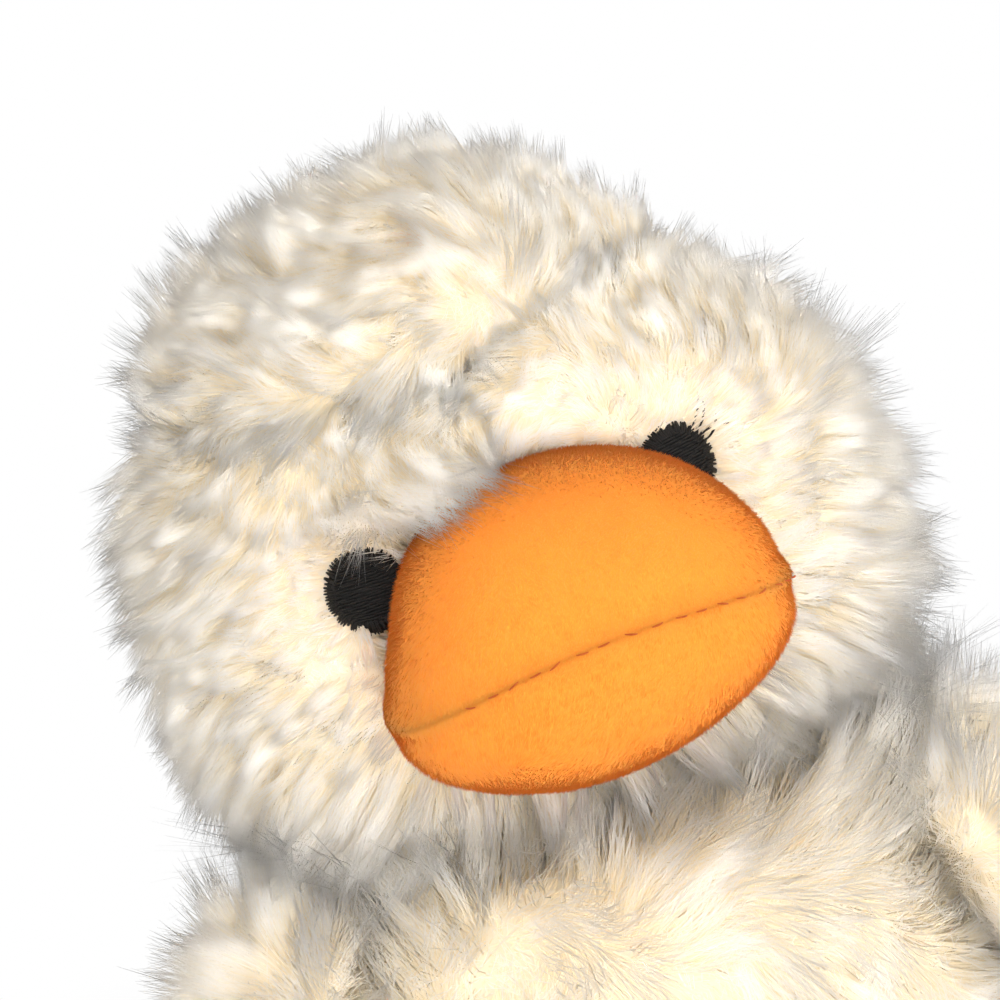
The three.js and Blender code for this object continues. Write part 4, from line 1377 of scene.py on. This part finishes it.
@dataclass
class Head:
    """The head's cover: crown, two cheeks and nape, with the eyes and the bill."""

    form: PlumpForm = PlumpForm(
        half_width=0.055, half_depth=0.044, above=0.068, below=0.029, full_above=2.4, full_below=2.4,
        centre=(0.0, -0.004, 0.026),
    )
    tilt: float = math.radians(7)
    root_inset: float = 0.0015
    chin_slope: float = math.radians(8)
    neck_room: float = 0.0005
    neck_hole: float = 0.019
    crown_seam_rise: float = 0.045
    crown_seam_slope: float = math.radians(2)
    nape_seam_y: float = 0.014
    eye_spacing: float = 0.054
    eye_rise: float = 0.018
    eye_radius: float = 0.0068
    eye_floor: float = 0.0062
    brow_reach: Tuple[float, float] = (-0.034, 0.014)
    parting: float = 0.006
    seam_dip: float = 0.0022
    dent_depth: float = 0.0055
    seam_width: float = 0.005
    bill_press: float = 0.010
    long_pile: float = 0.0128
    short_pile: float = 0.0058
    bill: Bill = field(default_factory=Bill)
    pile: Pile = Pile(density=6.0e6, tufts=1.1e5, width=0.00017, rise=0.42, lean=0.8, pull=0.66, stray=0.5,
                      scatter=0.12, seed=100)
    panel_density: Dict[str, float] = field(default_factory=lambda: {"crown": 1.2, "nape": 0.7})

    @property
    def place(self) -> Matrix:
        """The head's frame: its lean about the middle of the neck."""
        return Matrix.Translation(NECK_PLACE) @ Matrix.Rotation(-self.tilt, 4, "Y")

    @property
    def crown_seam(self) -> Tuple[Vector, Vector]:
        """A point and the upward normal of the crown seam's plane."""
        normal = Vector((0, -math.sin(self.crown_seam_slope), math.cos(self.crown_seam_slope)))
        point = Vector((0, self.form.centre[1], self.form.centre[2] + self.crown_seam_rise))
        return point, normal

    def eye_seat(self, side: Side) -> Tuple[Vector, Vector]:
        """Where an eye lies on the head's outside, and which way it faces, in the head's frame."""
        form = self.form
        across = side.value * self.eye_spacing / 2
        share = form.half_depth / form.half_width
        rise = (self.eye_rise / form.above) ** form.full_above
        reach = form.half_width * (1.0 - rise) ** (1.0 / form.full_above)
        front = -math.sqrt(reach ** 2 - across ** 2)
        slope = reach ** (form.full_above - 2) / form.half_width ** form.full_above
        spot = Vector((across, front * share + form.centre[1], self.eye_rise + form.centre[2]))
        return spot, Vector((across * slope, front * slope / share, rise / self.eye_rise)).normalized()

    def eye_distance(self, points: np.ndarray) -> np.ndarray:
        """The distance of points from the edge of the nearer eye."""
        gaps = []
        for side in Side:
            spot, facing = self.eye_seat(side)
            offset = points - np.array(spot)
            along = offset @ np.array(facing)
            gaps.append(np.linalg.norm(offset - along[:, None] * np.array(facing), axis=1)
                        + np.where(np.abs(along) > 0.02, 1.0, 0.0))
        return np.minimum(*gaps) - self.eye_radius

    @staticmethod
    def dent(points: np.ndarray) -> np.ndarray:
        """Where the head is pressed in: 1 at its upper left, 0 elsewhere."""
        return ramp(points[:, 0], 0.006, 0.032) * ramp(points[:, 2], 0.046, 0.066)

    def from_eye(self, points: np.ndarray, normals: np.ndarray) -> np.ndarray:
        """The direction away from the nearer eye, along the skin."""
        left, right = (points - np.array(self.eye_seat(side)[0]) for side in Side)
        return tangent(np.where(points[:, :1] > 0, left, right), normals)

    def skin(self) -> bpy.types.Mesh:
        """The whole head's backing: cut up over the neck, drawn in at its seams, and raised under the eyes."""
        mesh = self.form.mesh("head_skin", self.root_inset, sides=144, rings=90)
        points = positions(mesh)
        reach = np.hypot(points[:, 0], points[:, 1])
        floor = reach * math.tan(self.chin_slope) + self.neck_room
        points[:, 2] = np.maximum(points[:, 2], floor)
        move_points(mesh, points)
        normals = normals_of(mesh)
        seam_point, seam_normal = self.crown_seam
        over_seam = (points - np.array(seam_point)) @ np.array(seam_normal)
        nape = np.where(over_seam < 0, np.abs(points[:, 1] - self.nape_seam_y), 1.0)
        near = np.minimum(np.abs(over_seam), nape) / self.seam_width
        eyes = 1.0 - ramp(self.eye_distance(points), -0.001, 0.009)
        out = (self.root_inset - self.eye_floor) * eyes - self.seam_dip * np.exp(-near * near) * (1 - eyes)
        out -= self.bill_press * (1 - ramp(self.bill.level(points), 0.88, 1.04))
        out -= self.dent_depth * self.dent(points) * (1 - eyes)
        move_points(mesh, points + normals * out[:, None])
        hidden = (reach < self.neck_hole) & (points[:, 2] < self.form.centre[2])
        return without(mesh, hidden)

    def groom(self, points: np.ndarray, normals: np.ndarray) -> Groom:
        """The head's pile: away from the face, short by the eyes and bill, tousled on the crown."""
        seam_point, seam_normal = self.crown_seam
        over_seam = (points - np.array(seam_point)) @ np.array(seam_normal)
        crown = ramp(over_seam, -0.001, 0.001)
        front = ramp(-points[:, 1], 0.0, 0.03)
        count = len(points)
        face = np.array([0.0, -0.05, self.bill.rise])
        away = unit(points - face)
        away[:, 2] -= 0.25 * (1 - crown)
        back_down = np.stack([0.3 * points[:, 0] / 0.05, 0.3 * np.ones(count), -np.ones(count)], axis=1)
        lie = away + back_down * ((1 - front) * (1 - crown))[:, None]
        right, left = ramp(points[:, 0], -0.004, 0.024), ramp(-points[:, 0], 0.028, 0.046)
        above = ramp(over_seam, -0.003, 0.006)
        degrees = -15 - 85 * above * (1 - right) - 175 * right - 45 * left * (1 - above)
        down = np.tile([0.0, 0.0, -1.0], (count, 1))
        drift = turned(tangent(down, normals), normals, np.radians(degrees))
        upper = front * ramp(points[:, 2], 0.042, 0.052)
        lie = blend(tangent(lie, normals), drift, upper)
        low, high = self.brow_reach
        brow = ramp(points[:, 0], low - 0.008, low + 0.008) * (1 - ramp(points[:, 0], high - 0.006, high + 0.006))
        brow = brow * front * (1 - crown) * ramp(points[:, 2], 0.044, 0.052)
        swing = noise_at(points, 0.016, 1.0) + 0.9 * noise_at(points, 0.007, 2.0)
        parting = np.exp(-(over_seam / self.parting) ** 2) * front
        angles = swing * (0.45 + 0.75 * crown * front + 1.3 * parting)
        comb = turned(tangent(lie, normals), normals, angles)
        comb = comb * (1 - 0.15 * parting)[:, None] + normals * (0.1 * parting)[:, None]
        bill_gap = (self.bill.level(points) - 1.0) * self.bill.form.half_thickness
        fringe = brow * (1 - ramp(bill_gap, 0.007, 0.013)) * (1 - ramp(points[:, 0], -0.010, 0.004))
        fringe = fringe * ramp(points[:, 0], -0.03, -0.024)
        inward = unit(np.stack([-points[:, 0], np.zeros(count), self.bill.rise - points[:, 2]], axis=1))
        inward = 0.68 * inward + np.array([0.1, -0.9, 0.0])
        comb = blend(comb, inward, fringe)
        eye_gap = self.eye_distance(points)
        chin = ramp(-points[:, 2], -0.026, -0.01) * front
        open_skin = ramp(np.minimum(bill_gap + 0.004 * chin, eye_gap), 0.0, 0.02)
        length = self.short_pile + (self.long_pile - self.short_pile) * open_skin
        length = length + 0.016 * fringe + 0.006 * chin + 0.003 * ramp(points[:, 0], 0.02, 0.045) * (1 - crown)
        around = 1 - ramp(eye_gap, 0.001, 0.013)
        stand = 0.75 * self.from_eye(points, normals) + 0.2 * normals
        comb = blend(comb, stand, 0.9 * around)
        comb = comb + np.array([0.0, -0.25, -0.35]) * chin[:, None]
        length *= (1.0 + 0.12 * noise_at(points, 0.012, 7.0)) * (1 - 0.3 * self.dent(points))
        share = 0.55 + 0.45 * ramp(-points[:, 1], -0.02, 0.01) + 0.9 * (1 - ramp(eye_gap, 0.0, 0.005))
        share = share + 0.4 * fringe
        share = np.where((bill_gap < 0.0002) | (eye_gap < 0.0003), 0.0, share)
        tone = 0.26 + 0.26 * noise_at(points, 0.02, 11.0) + 0.16 * crown * front
        # Painted reflection: fibres next to the bill get high tones that mix in peach, which stands in for orange
        # light thrown onto the fur by the bill.
        blush = 1 - ramp(bill_gap, 0.0005, 0.006)
        return Groom(comb, length, share, np.clip(tone, 0.05, 0.6) + 0.27 * blush)

    def build(self) -> None:
        """Makes the four covers, the eyes and the bill and seats them."""
        whole = self.skin()
        seam_point, seam_normal = self.crown_seam
        nape = Vector((0, self.nape_seam_y, 0))
        front, left = Vector((0, -1, 0)), Vector((1, 0, 0))
        below = (seam_point, -seam_normal)
        panels = {
            "crown": [(seam_point, seam_normal)],
            "left_cheek": [below, (nape, front), (Vector(), left)],
            "right_cheek": [below, (nape, front), (Vector(), -left)],
            "nape": [below, (nape, -front)],
        }
        for number, (name, planes) in enumerate(panels.items()):
            skin = groomed_skin(sliced(whole, planes), BACKING, self.groom, self.place)
            density = self.pile.density * self.panel_density.get(name, 1.0)
            pile = replace(self.pile, seed=self.pile.seed + 10 * number, density=density)
            piece = grown(f"{name}_cover", skin, pile, CREAM_PILE)
            seat(piece, "head", [f"{name}_panel"])
        for side in Side:
            Eye(side).build(self.eye_place(side))
        self.bill.build(self.place, self.form)

    def eye_place(self, side: Side) -> Matrix:
        """An eye's frame in the whole: the middle of its CAD node, +Z out of the face and +Y up."""
        low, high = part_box(f"{side.word}_eye")
        turn = self.place.to_3x3()
        out = turn @ self.eye_seat(side)[1]
        up = turn @ UP
        across = up.cross(out).normalized()
        axes = Matrix((across, out.cross(across), out)).transposed()
        return Matrix.Translation((low + high) / 2) @ axes.to_4x4()


@dataclass
class Neck:
    """The neck band's cover, whose pile fills the gap between head and shoulders, and its thread."""

    radius: float = 0.0195
    half_height: float = 0.0115
    long_pile: float = 0.017
    pile: Pile = Pile(density=3.4e6, tufts=8.0e4, width=0.00022, rise=0.85, lean=0.25, pull=0.6, stray=0.3,
                      scatter=0.14, seed=200)

    def groom(self, points: np.ndarray, normals: np.ndarray) -> Groom:
        """The band's pile stands out all round."""
        fall = np.tile(np.array([0.0, 0.0, -1.0]), (len(points), 1))
        comb = turned(tangent(fall, normals), normals, 2.0 * noise_at(points, 0.01, 21.0))
        count = len(points)
        return Groom(comb, np.full(count, self.long_pile), np.ones(count), np.full(count, 0.4))

    def build(self) -> None:
        """Makes the cover and seats it, and dresses the thread."""
        form = PlumpForm(self.radius, self.radius, self.radius, self.radius, 2.0, 2.0, tuple(NECK_PLACE))
        ball = form.mesh("neck_skin", 0.0, sides=96, rings=48)
        offset = UP * self.half_height
        band = sliced(ball, [(NECK_PLACE - offset, UP), (NECK_PLACE + offset, -UP)])
        piece = grown("neck_cover", groomed_skin(band, BACKING, self.groom, Matrix()), self.pile, LOOSE_PILE)
        seat(piece, "neck", ["neck_panel"])
        frame["nodes"]["neck_thread"].material_slots[0].material = CREAM_THREAD.material()


@dataclass
class Wing:
    """A wing: outer and inner covers on a pad that hangs from the shoulder."""

    side: Side
    torso: Torso
    form: PadForm = PadForm(length=0.066, root_depth=0.013, root_half_width=0.021, tip_half_width=0.024,
                            half_thickness=0.013, squareness=2.3)
    height: float = 0.103
    forward: float = 0.018
    standoff: float = 0.007
    spread: float = math.radians(32)
    drop: float = math.radians(12)
    root_inset: float = 0.002
    long_pile: float = 0.015
    root_pile: float = 0.006
    pile: Pile = Pile(density=8.0e6, tufts=9.0e4, width=0.00018, rise=0.34, lean=0.82, pull=0.62, stray=0.5,
                      scatter=0.12, softness=0.9, seed=300)

    def place(self, drop: float = 0.0) -> Matrix:
        """The wing's frame, at rest or pressed in by an angle."""
        form = self.torso.form
        slant = math.sqrt(1.0 - (self.forward / form.reach_at(self.height, form.half_depth)) ** 2)
        reach = form.reach_at(self.height, form.half_width) * slant + self.standoff
        angle = math.pi / 2 - self.side.value * (self.spread - drop)
        spot = Vector((self.side.value * reach, -self.forward, self.height))
        return Matrix.Translation(spot) @ Matrix.Rotation(angle, 4, "Y")

    def groom(self, points: np.ndarray, normals: np.ndarray) -> Groom:
        """The wing's pile, combed to its tip and off its edges."""
        along = np.stack([np.ones(len(points)), points[:, 1] / 0.03, np.zeros(len(points))], axis=1)
        angles = 0.75 * (noise_at(points, 0.014, 30.0 + self.side.value) + 0.4 * noise_at(points, 0.006, 31.0))
        root = 1 - ramp(points[:, 0], -0.008, 0.02)
        comb = turned(tangent(along, normals), normals, angles + 2.6 * self.side.value * root)
        comb = comb * (1 - 0.25 * root)[:, None] + normals * (0.1 * root)[:, None]
        inner = ramp(-self.side.value * points[:, 2], 0.0, 0.006)
        length = (self.long_pile + self.root_pile * root) * (1.0 - 0.4 * inner * (1 - root))
        length *= 1.0 + 0.12 * noise_at(points, 0.012, 32.0)
        tone = np.clip(0.32 + 0.28 * noise_at(points, 0.018, 33.0), 0.05, 0.6)
        return Groom(comb, length, np.ones(len(points)), tone)

    def skin(self) -> bpy.types.Mesh:
        """The wing's backing, kept clear of the body from rest to pressed in."""
        mesh = self.form.mesh("wing_skin", self.root_inset, sides=64, rings=35)
        points = positions(mesh)
        outward = self.side.value
        for drop in (0.0, self.drop / 2, self.drop):
            for _ in range(12):
                level = self.torso.form.level(placed(points, self.place(drop)), 0.002)
                inside = (level < 1.0) & (points[:, 0] > 0.008)
                points[:, 2] += outward * np.where(inside, 0.0006, 0.0)
        move_points(mesh, points)
        return without(mesh, self.torso.form.level(placed(points, self.place()), HIDDEN_DEPTH) < 1.0)

    def build(self) -> None:
        """Makes the two covers and seats them."""
        whole = self.skin()
        word = self.side.word
        for number, (name, sign) in enumerate({"outer": 1, "inner": -1}.items()):
            half = sliced(whole, [(Vector(), UP * (sign * self.side.value))])
            skin = groomed_skin(half, BACKING, self.groom, self.place())
            pile = replace(self.pile, seed=self.pile.seed + 10 * number + self.side.value)
            if name == "inner":
                pile = replace(pile, density=pile.density * 0.6)
            piece = grown(f"{word}_wing_{name}_cover", skin, pile, LOOSE_PILE)
            seat(piece, f"{word}_wing", [f"{word}_wing_{name}_panel"])


@dataclass
class Foot:
    """A webbed foot: orange top and sole, with two sewn lines between the toes."""

    side: Side
    torso: Torso
    form: PadForm = PadForm(length=0.042, root_depth=0.008, root_half_width=0.012, tip_half_width=0.024,
                            half_thickness=0.008, squareness=2.3, toe_angle=math.radians(40), toe_notch=0.0045)
    spacing: float = 0.048
    overlap: float = 0.004
    toe_out: float = math.radians(12)
    sole_flat: float = 0.0005
    fit_gap: float = 0.0003
    nap: float = 0.0013
    nap_inset: float = 0.0013
    pressure: float = 3.0
    swell_cap: float = 0.0012
    groove: float = 0.0016
    thread: float = 0.0005
    stitch_pitch: float = 0.0034
    pile: Pile = Pile(density=9.0e6, tufts=9.0e5, width=0.00017, rise=0.5, lean=0.7, pull=0.3, stray=0.2,
                      scatter=0.16, segments=1, lowest=0.0002, seed=400)

    @property
    def place(self) -> Matrix:
        """The foot's frame."""
        height = self.form.half_thickness - self.sole_flat + self.fit_gap
        body = self.torso.form
        spot = Vector((self.side.value * self.spacing / 2,
                       self.overlap - body.reach_at(height, body.half_depth), height))
        turn = -math.pi / 2 + self.side.value * self.toe_out
        return Matrix.Translation(spot) @ Matrix.Rotation(turn, 4, "Z")

    def toe_lines(self) -> List[float]:
        """The angles of the sewn lines, about the foot's middle."""
        return [-self.form.toe_angle / 2, self.form.toe_angle / 2]

    def groom(self, points: np.ndarray, normals: np.ndarray) -> Groom:
        """The foot's nap, brushed to the toes, and short on the sole."""
        along = np.tile(np.array([1.0, 0.0, -0.3]), (len(points), 1))
        comb = turned(tangent(along, normals), normals, 0.8 * noise_at(points, 0.01, 41.0))
        patches = noise_at(points, 0.004, 42.0)
        sole = ramp(-normals[:, 2], 0.6, 0.9)
        seam = np.exp(-(points[:, 2] / 0.0012) ** 2)
        length = self.nap * (1.0 - 0.5 * seam + 0.2 * patches) * (1.0 - 0.7 * sole)
        tone = np.clip(0.26 + 0.16 * patches + 0.15 * sole + 0.15 * seam, 0.03, 0.62)
        return Groom(comb, length, np.ones(len(points)), tone)

    def skin(self) -> bpy.types.Mesh:
        """The foot's backing, blown up, flat under the sole and drawn in along the toe lines."""
        mesh = self.form.mesh("foot_skin", self.nap_inset, sides=72, rings=27)
        points = positions(mesh)
        held = (np.abs(points[:, 2]) < 1e-6).astype(float)
        mesh = subdivided(inflated(mesh, held, self.pressure, self.swell_cap), 1)
        points, normals = positions(mesh), normals_of(mesh)
        along, across = points[:, 0] - self.form.middle, points[:, 1]
        out = np.hypot(along, across) / self.form.radius(np.arctan2(across, along))
        for line in self.toe_lines():
            beside = (across * math.cos(line) - along * math.sin(line)) / 0.0018
            ahead = along * math.cos(line) + across * math.sin(line) > 0
            depth = self.groove * np.exp(-beside * beside) * ramp(out, 0.05, 0.35) * ahead
            points -= normals * depth[:, None]
        lowest = -(self.form.half_thickness - self.sole_flat) + 0.0004
        points[:, 2] = np.maximum(points[:, 2], lowest)
        move_points(mesh, points)
        return without(mesh, self.torso.form.level(placed(points, self.place), 0.008) < 1.0)

    def stitches(self) -> Runs:
        """Short stitches along the toe lines on the foot's top."""
        runs = Runs()
        for line in self.toe_lines():
            radius = float(self.form.radius(np.array([line]))[0])
            for start in np.arange(0.30 * radius, 0.93 * radius, self.stitch_pitch):
                ends = []
                for reach in (start, min(start + 0.6 * self.stitch_pitch, 0.96 * radius)):
                    share = reach / radius
                    height = (self.form.half_thickness - self.nap_inset) * math.sqrt(1 - share * share)
                    ends.append(np.array([self.form.middle + reach * math.cos(line), reach * math.sin(line),
                                          height - 0.6 * self.groove]))
                runs.add(ends, np.array([0.0, 0.0, 1.0]))
        return runs

    def build(self) -> None:
        """Makes the two covers and the stitches and seats them."""
        whole = self.skin()
        word = self.side.word
        body = f"{word}_foot"
        for number, (name, normal) in enumerate({"top": UP, "sole": -UP}.items()):
            skin = groomed_skin(sliced(whole, [(Vector(), normal)]), BACKING, self.groom, self.place)
            pile = replace(self.pile, seed=self.pile.seed + 10 * number + self.side.value)
            piece = grown(f"{body}_{name}_cover", skin, pile, ORANGE_NAP)
            seat(piece, body, [f"{body}_{name}_panel"])
        thread = self.stitches().sewn(f"{body}_stitches", self.thread, 0.0004, RUST_THREAD, self.place)
        seat(linked(f"{body}_stitches", thread), body)


@dataclass
class Tail:
    """The tail: upper and lower covers on a small upturned pad."""

    torso: Torso
    form: PadForm = PadForm(length=0.032, root_depth=0.024, root_half_width=0.024, tip_half_width=0.012,
                            half_thickness=0.012, squareness=2.1)
    height: float = 0.032
    angle: float = math.radians(32)
    root_inset: float = 0.002
    long_pile: float = 0.012
    pile: Pile = Pile(density=4.2e6, tufts=8.0e4, width=0.00024, rise=0.34, lean=0.82, pull=0.6, stray=0.5,
                      scatter=0.12, softness=0.9, seed=500)

    @property
    def place(self) -> Matrix:
        """The tail's frame."""
        body = self.torso.form
        spot = Vector((0, body.reach_at(self.height, body.half_depth), self.height))
        turn = Matrix.Rotation(self.angle, 4, "X") @ Matrix.Rotation(math.pi / 2, 4, "Z")
        return Matrix.Translation(spot) @ turn

    def groom(self, points: np.ndarray, normals: np.ndarray) -> Groom:
        """The tail's pile, combed to its tip."""
        along = np.stack([np.ones(len(points)), points[:, 1] / 0.03, np.zeros(len(points))], axis=1)
        comb = turned(tangent(along, normals), normals, 0.7 * noise_at(points, 0.012, 51.0))
        length = self.long_pile * (1.0 + 0.12 * noise_at(points, 0.01, 52.0))
        tone = np.clip(0.32 + 0.28 * noise_at(points, 0.018, 53.0), 0.05, 0.6)
        return Groom(comb, length, np.ones(len(points)), tone)

    def build(self) -> None:
        """Makes the two covers and seats them."""
        mesh = self.form.mesh("tail_skin", self.root_inset, sides=56, rings=31)
        whole = without(mesh, self.torso.form.level(placed(positions(mesh), self.place), HIDDEN_DEPTH) < 1.0)
        for number, (name, normal) in enumerate({"upper": UP, "lower": -UP}.items()):
            skin = groomed_skin(sliced(whole, [(Vector(), normal)]), BACKING, self.groom, self.place)
            pile = replace(self.pile, seed=self.pile.seed + 10 * number)
            piece = grown(f"tail_{name}_cover", skin, pile, LOOSE_PILE)
            seat(piece, "torso", [f"tail_{name}_panel"])


@dataclass
class Filling:
    """The fibre filling inside the covers, as lumpy wads, and the squeaker's plastic."""

    voxel: float = 0.0026
    lump: float = 0.0009
    lump_spacing: float = 0.007
    drawn_in: Dict[str, float] = field(default_factory=lambda: {
        "bill_stuffing": 0.0045, "left_foot_stuffing": 0.0035, "right_foot_stuffing": 0.0035})

    def wad(self, node: str) -> bpy.types.Object:
        """A wad in the place of a CAD filling, drawn in unevenly."""
        work = bmesh.new()
        work.from_mesh(frame["nodes"][node].data)
        bmesh.ops.remove_doubles(work, verts=work.verts[:], dist=1e-6)
        block = linked(f"{node}_block", poured(work, node))
        remesh = block.modifiers.new("wad", "REMESH")
        remesh.mode = "VOXEL"
        remesh.voxel_size = self.voxel
        wad = settled(block)
        points, normals = positions(wad), normals_of(wad)
        uneven = 0.5 + 0.5 * noise_at(points, self.lump_spacing, 61.0)
        inward = self.drawn_in.get(node, 0.0) + self.lump * uneven
        move_points(wad, points - normals * inward[:, None])
        wad.materials.clear()
        wad.materials.append(FILLING.material())
        wad.shade_smooth()
        return linked(f"{node}_wad", wad)

    def build(self) -> None:
        """Makes every wad, seats it, and dresses the squeaker."""
        for name, node in frame["nodes"].items():
            if name.endswith("_stuffing"):
                seat(self.wad(name), node["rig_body"], [name])
            if name.startswith("squeaker_"):
                node.material_slots[0].material = MILKY_PLASTIC.material()


@dataclass
class Studio:
    """Pale floor, soft light, and the camera at the photograph's angle."""

    azimuth: float = math.radians(-6.95)
    elevation: float = math.radians(10.2)
    roll: float = math.radians(13.68)
    distance: float = 0.7374
    target: Tuple[float, float, float] = (-0.0037, -0.004, 0.1601)
    focal_length: float = 176.0
    sensor: float = 36.0
    floor_radius: float = 4.0
    fade_start: float = 0.16
    fade_end: float = 0.42
    sky: float = 0.43
    front_power: float = 5.0
    side_power: float = 3.6
    low_power: float = 7.0
    back_power: float = 13.0

    def camera(self) -> None:
        """Makes the camera."""
        back = Vector((math.sin(self.azimuth) * math.cos(self.elevation),
                       -math.cos(self.azimuth) * math.cos(self.elevation), math.sin(self.elevation)))
        level = (-back).cross(UP).normalized()
        upright = level.cross(-back)
        right = level * math.cos(self.roll) - upright * math.sin(self.roll)
        up = upright * math.cos(self.roll) + level * math.sin(self.roll)
        data = bpy.data.cameras.new("camera")
        data.lens = self.focal_length
        data.sensor_width = self.sensor
        data.clip_start = 0.01
        eye = bpy.data.objects.new("camera", data)
        axes = Matrix((right, up, back)).transposed().to_4x4()
        eye.matrix_world = Matrix.Translation(Vector(self.target) + back * self.distance) @ axes
        bpy.context.scene.collection.objects.link(eye)
        bpy.context.scene.camera = eye

    @staticmethod
    def seen_directly(graph: Graph) -> Field:
        """1 for rays from the camera, and for those that gloss or glass sends on."""
        path = graph.node("ShaderNodeLightPath")
        rays = [Field(graph, path.outputs[f"Is {kind} Ray"]) for kind in ("Camera", "Glossy", "Transmission")]
        return graph.arithmetic("MAXIMUM", graph.arithmetic("MAXIMUM", rays[0], rays[1]), rays[2])

    def world(self) -> None:
        """Makes a soft even sky that the camera sees as white."""
        world = bpy.data.worlds.new("soft_sky")
        bpy.context.scene.world = world
        world.use_nodes = True
        world.node_tree.nodes.clear()
        graph = Graph(world.node_tree)
        strength = graph.first(graph.node("ShaderNodeMapRange", {"Value": self.seen_directly(graph),
                                                                  "To Min": self.sky, "To Max": 1.0}))
        sky = graph.node("ShaderNodeBackground", {"Color": (1, 1, 1, 1), "Strength": strength})
        output = graph.node("ShaderNodeOutputWorld")
        graph.feed(output.inputs["Surface"], graph.first(sky))

    def floor(self) -> None:
        """Makes a pale floor that keeps the shadow and runs out to white."""
        work = bmesh.new()
        bmesh.ops.create_circle(work, cap_ends=True, segments=96, radius=self.floor_radius)
        mesh = poured(work, "floor")
        material, graph, shader = start_material("pale_floor")
        shader.inputs["Base Color"].default_value = (0.93, 0.93, 0.93, 1)
        shader.inputs["Roughness"].default_value = 0.9
        place = Field(graph, graph.node("ShaderNodeTexCoord").outputs["Object"])
        away = graph.first(graph.node("ShaderNodeVectorMath", {0: place}, operation="LENGTH"))
        share = away.ramped(self.fade_start, self.fade_end) * self.seen_directly(graph)
        white = graph.node("ShaderNodeEmission", {"Color": (1, 1, 1, 1), "Strength": 1.0})
        mix = graph.node("ShaderNodeMixShader", {0: share, 1: Field(graph, shader.outputs["BSDF"]),
                                                 2: graph.first(white)})
        output = next(node for node in graph.tree.nodes if node.type == "OUTPUT_MATERIAL")
        graph.feed(output.inputs["Surface"], graph.first(mix))
        mesh.materials.append(material)
        linked("floor", mesh)

    def lamp(self, name: str, spot: Tuple[float, float, float], size: float, power: float) -> None:
        """Makes a square soft lamp that faces the toy."""
        data = bpy.data.lights.new(name, "AREA")
        data.size = size
        data.energy = power
        lamp = bpy.data.objects.new(name, data)
        aim = Vector((0.0, 0.0, 0.12)) - Vector(spot)
        lamp.matrix_world = Matrix.Translation(spot) @ aim.to_track_quat("-Z", "Y").to_matrix().to_4x4()
        bpy.context.scene.collection.objects.link(lamp)

    def build(self) -> None:
        """Makes the camera, the sky, the floor and the lamps."""
        self.camera()
        self.world()
        self.floor()
        self.lamp("front", (-0.15, -1.5, 0.32), 1.0, self.front_power)
        self.lamp("side", (1.0, -1.0, 0.45), 1.0, self.side_power)
        self.lamp("low", (-0.1, -1.3, 0.06), 0.8, self.low_power)
        self.lamp("back", (0.3, 1.4, 0.6), 1.0, self.back_power)
        bpy.context.scene.view_settings.view_transform = "Standard"


def main() -> None:
    """Builds the studio and every sub-assembly, in order."""
    logging.basicConfig(level=logging.INFO, format="%(message)s")
    Studio().build()
    torso = Torso()
    torso.build()
    Neck().build()
    Head().build()
    for side in Side:
        Wing(side, torso).build()
        Foot(side, torso).build()
    Tail(torso).build()
    Filling().build()


if __name__ == "__main__":
    main()
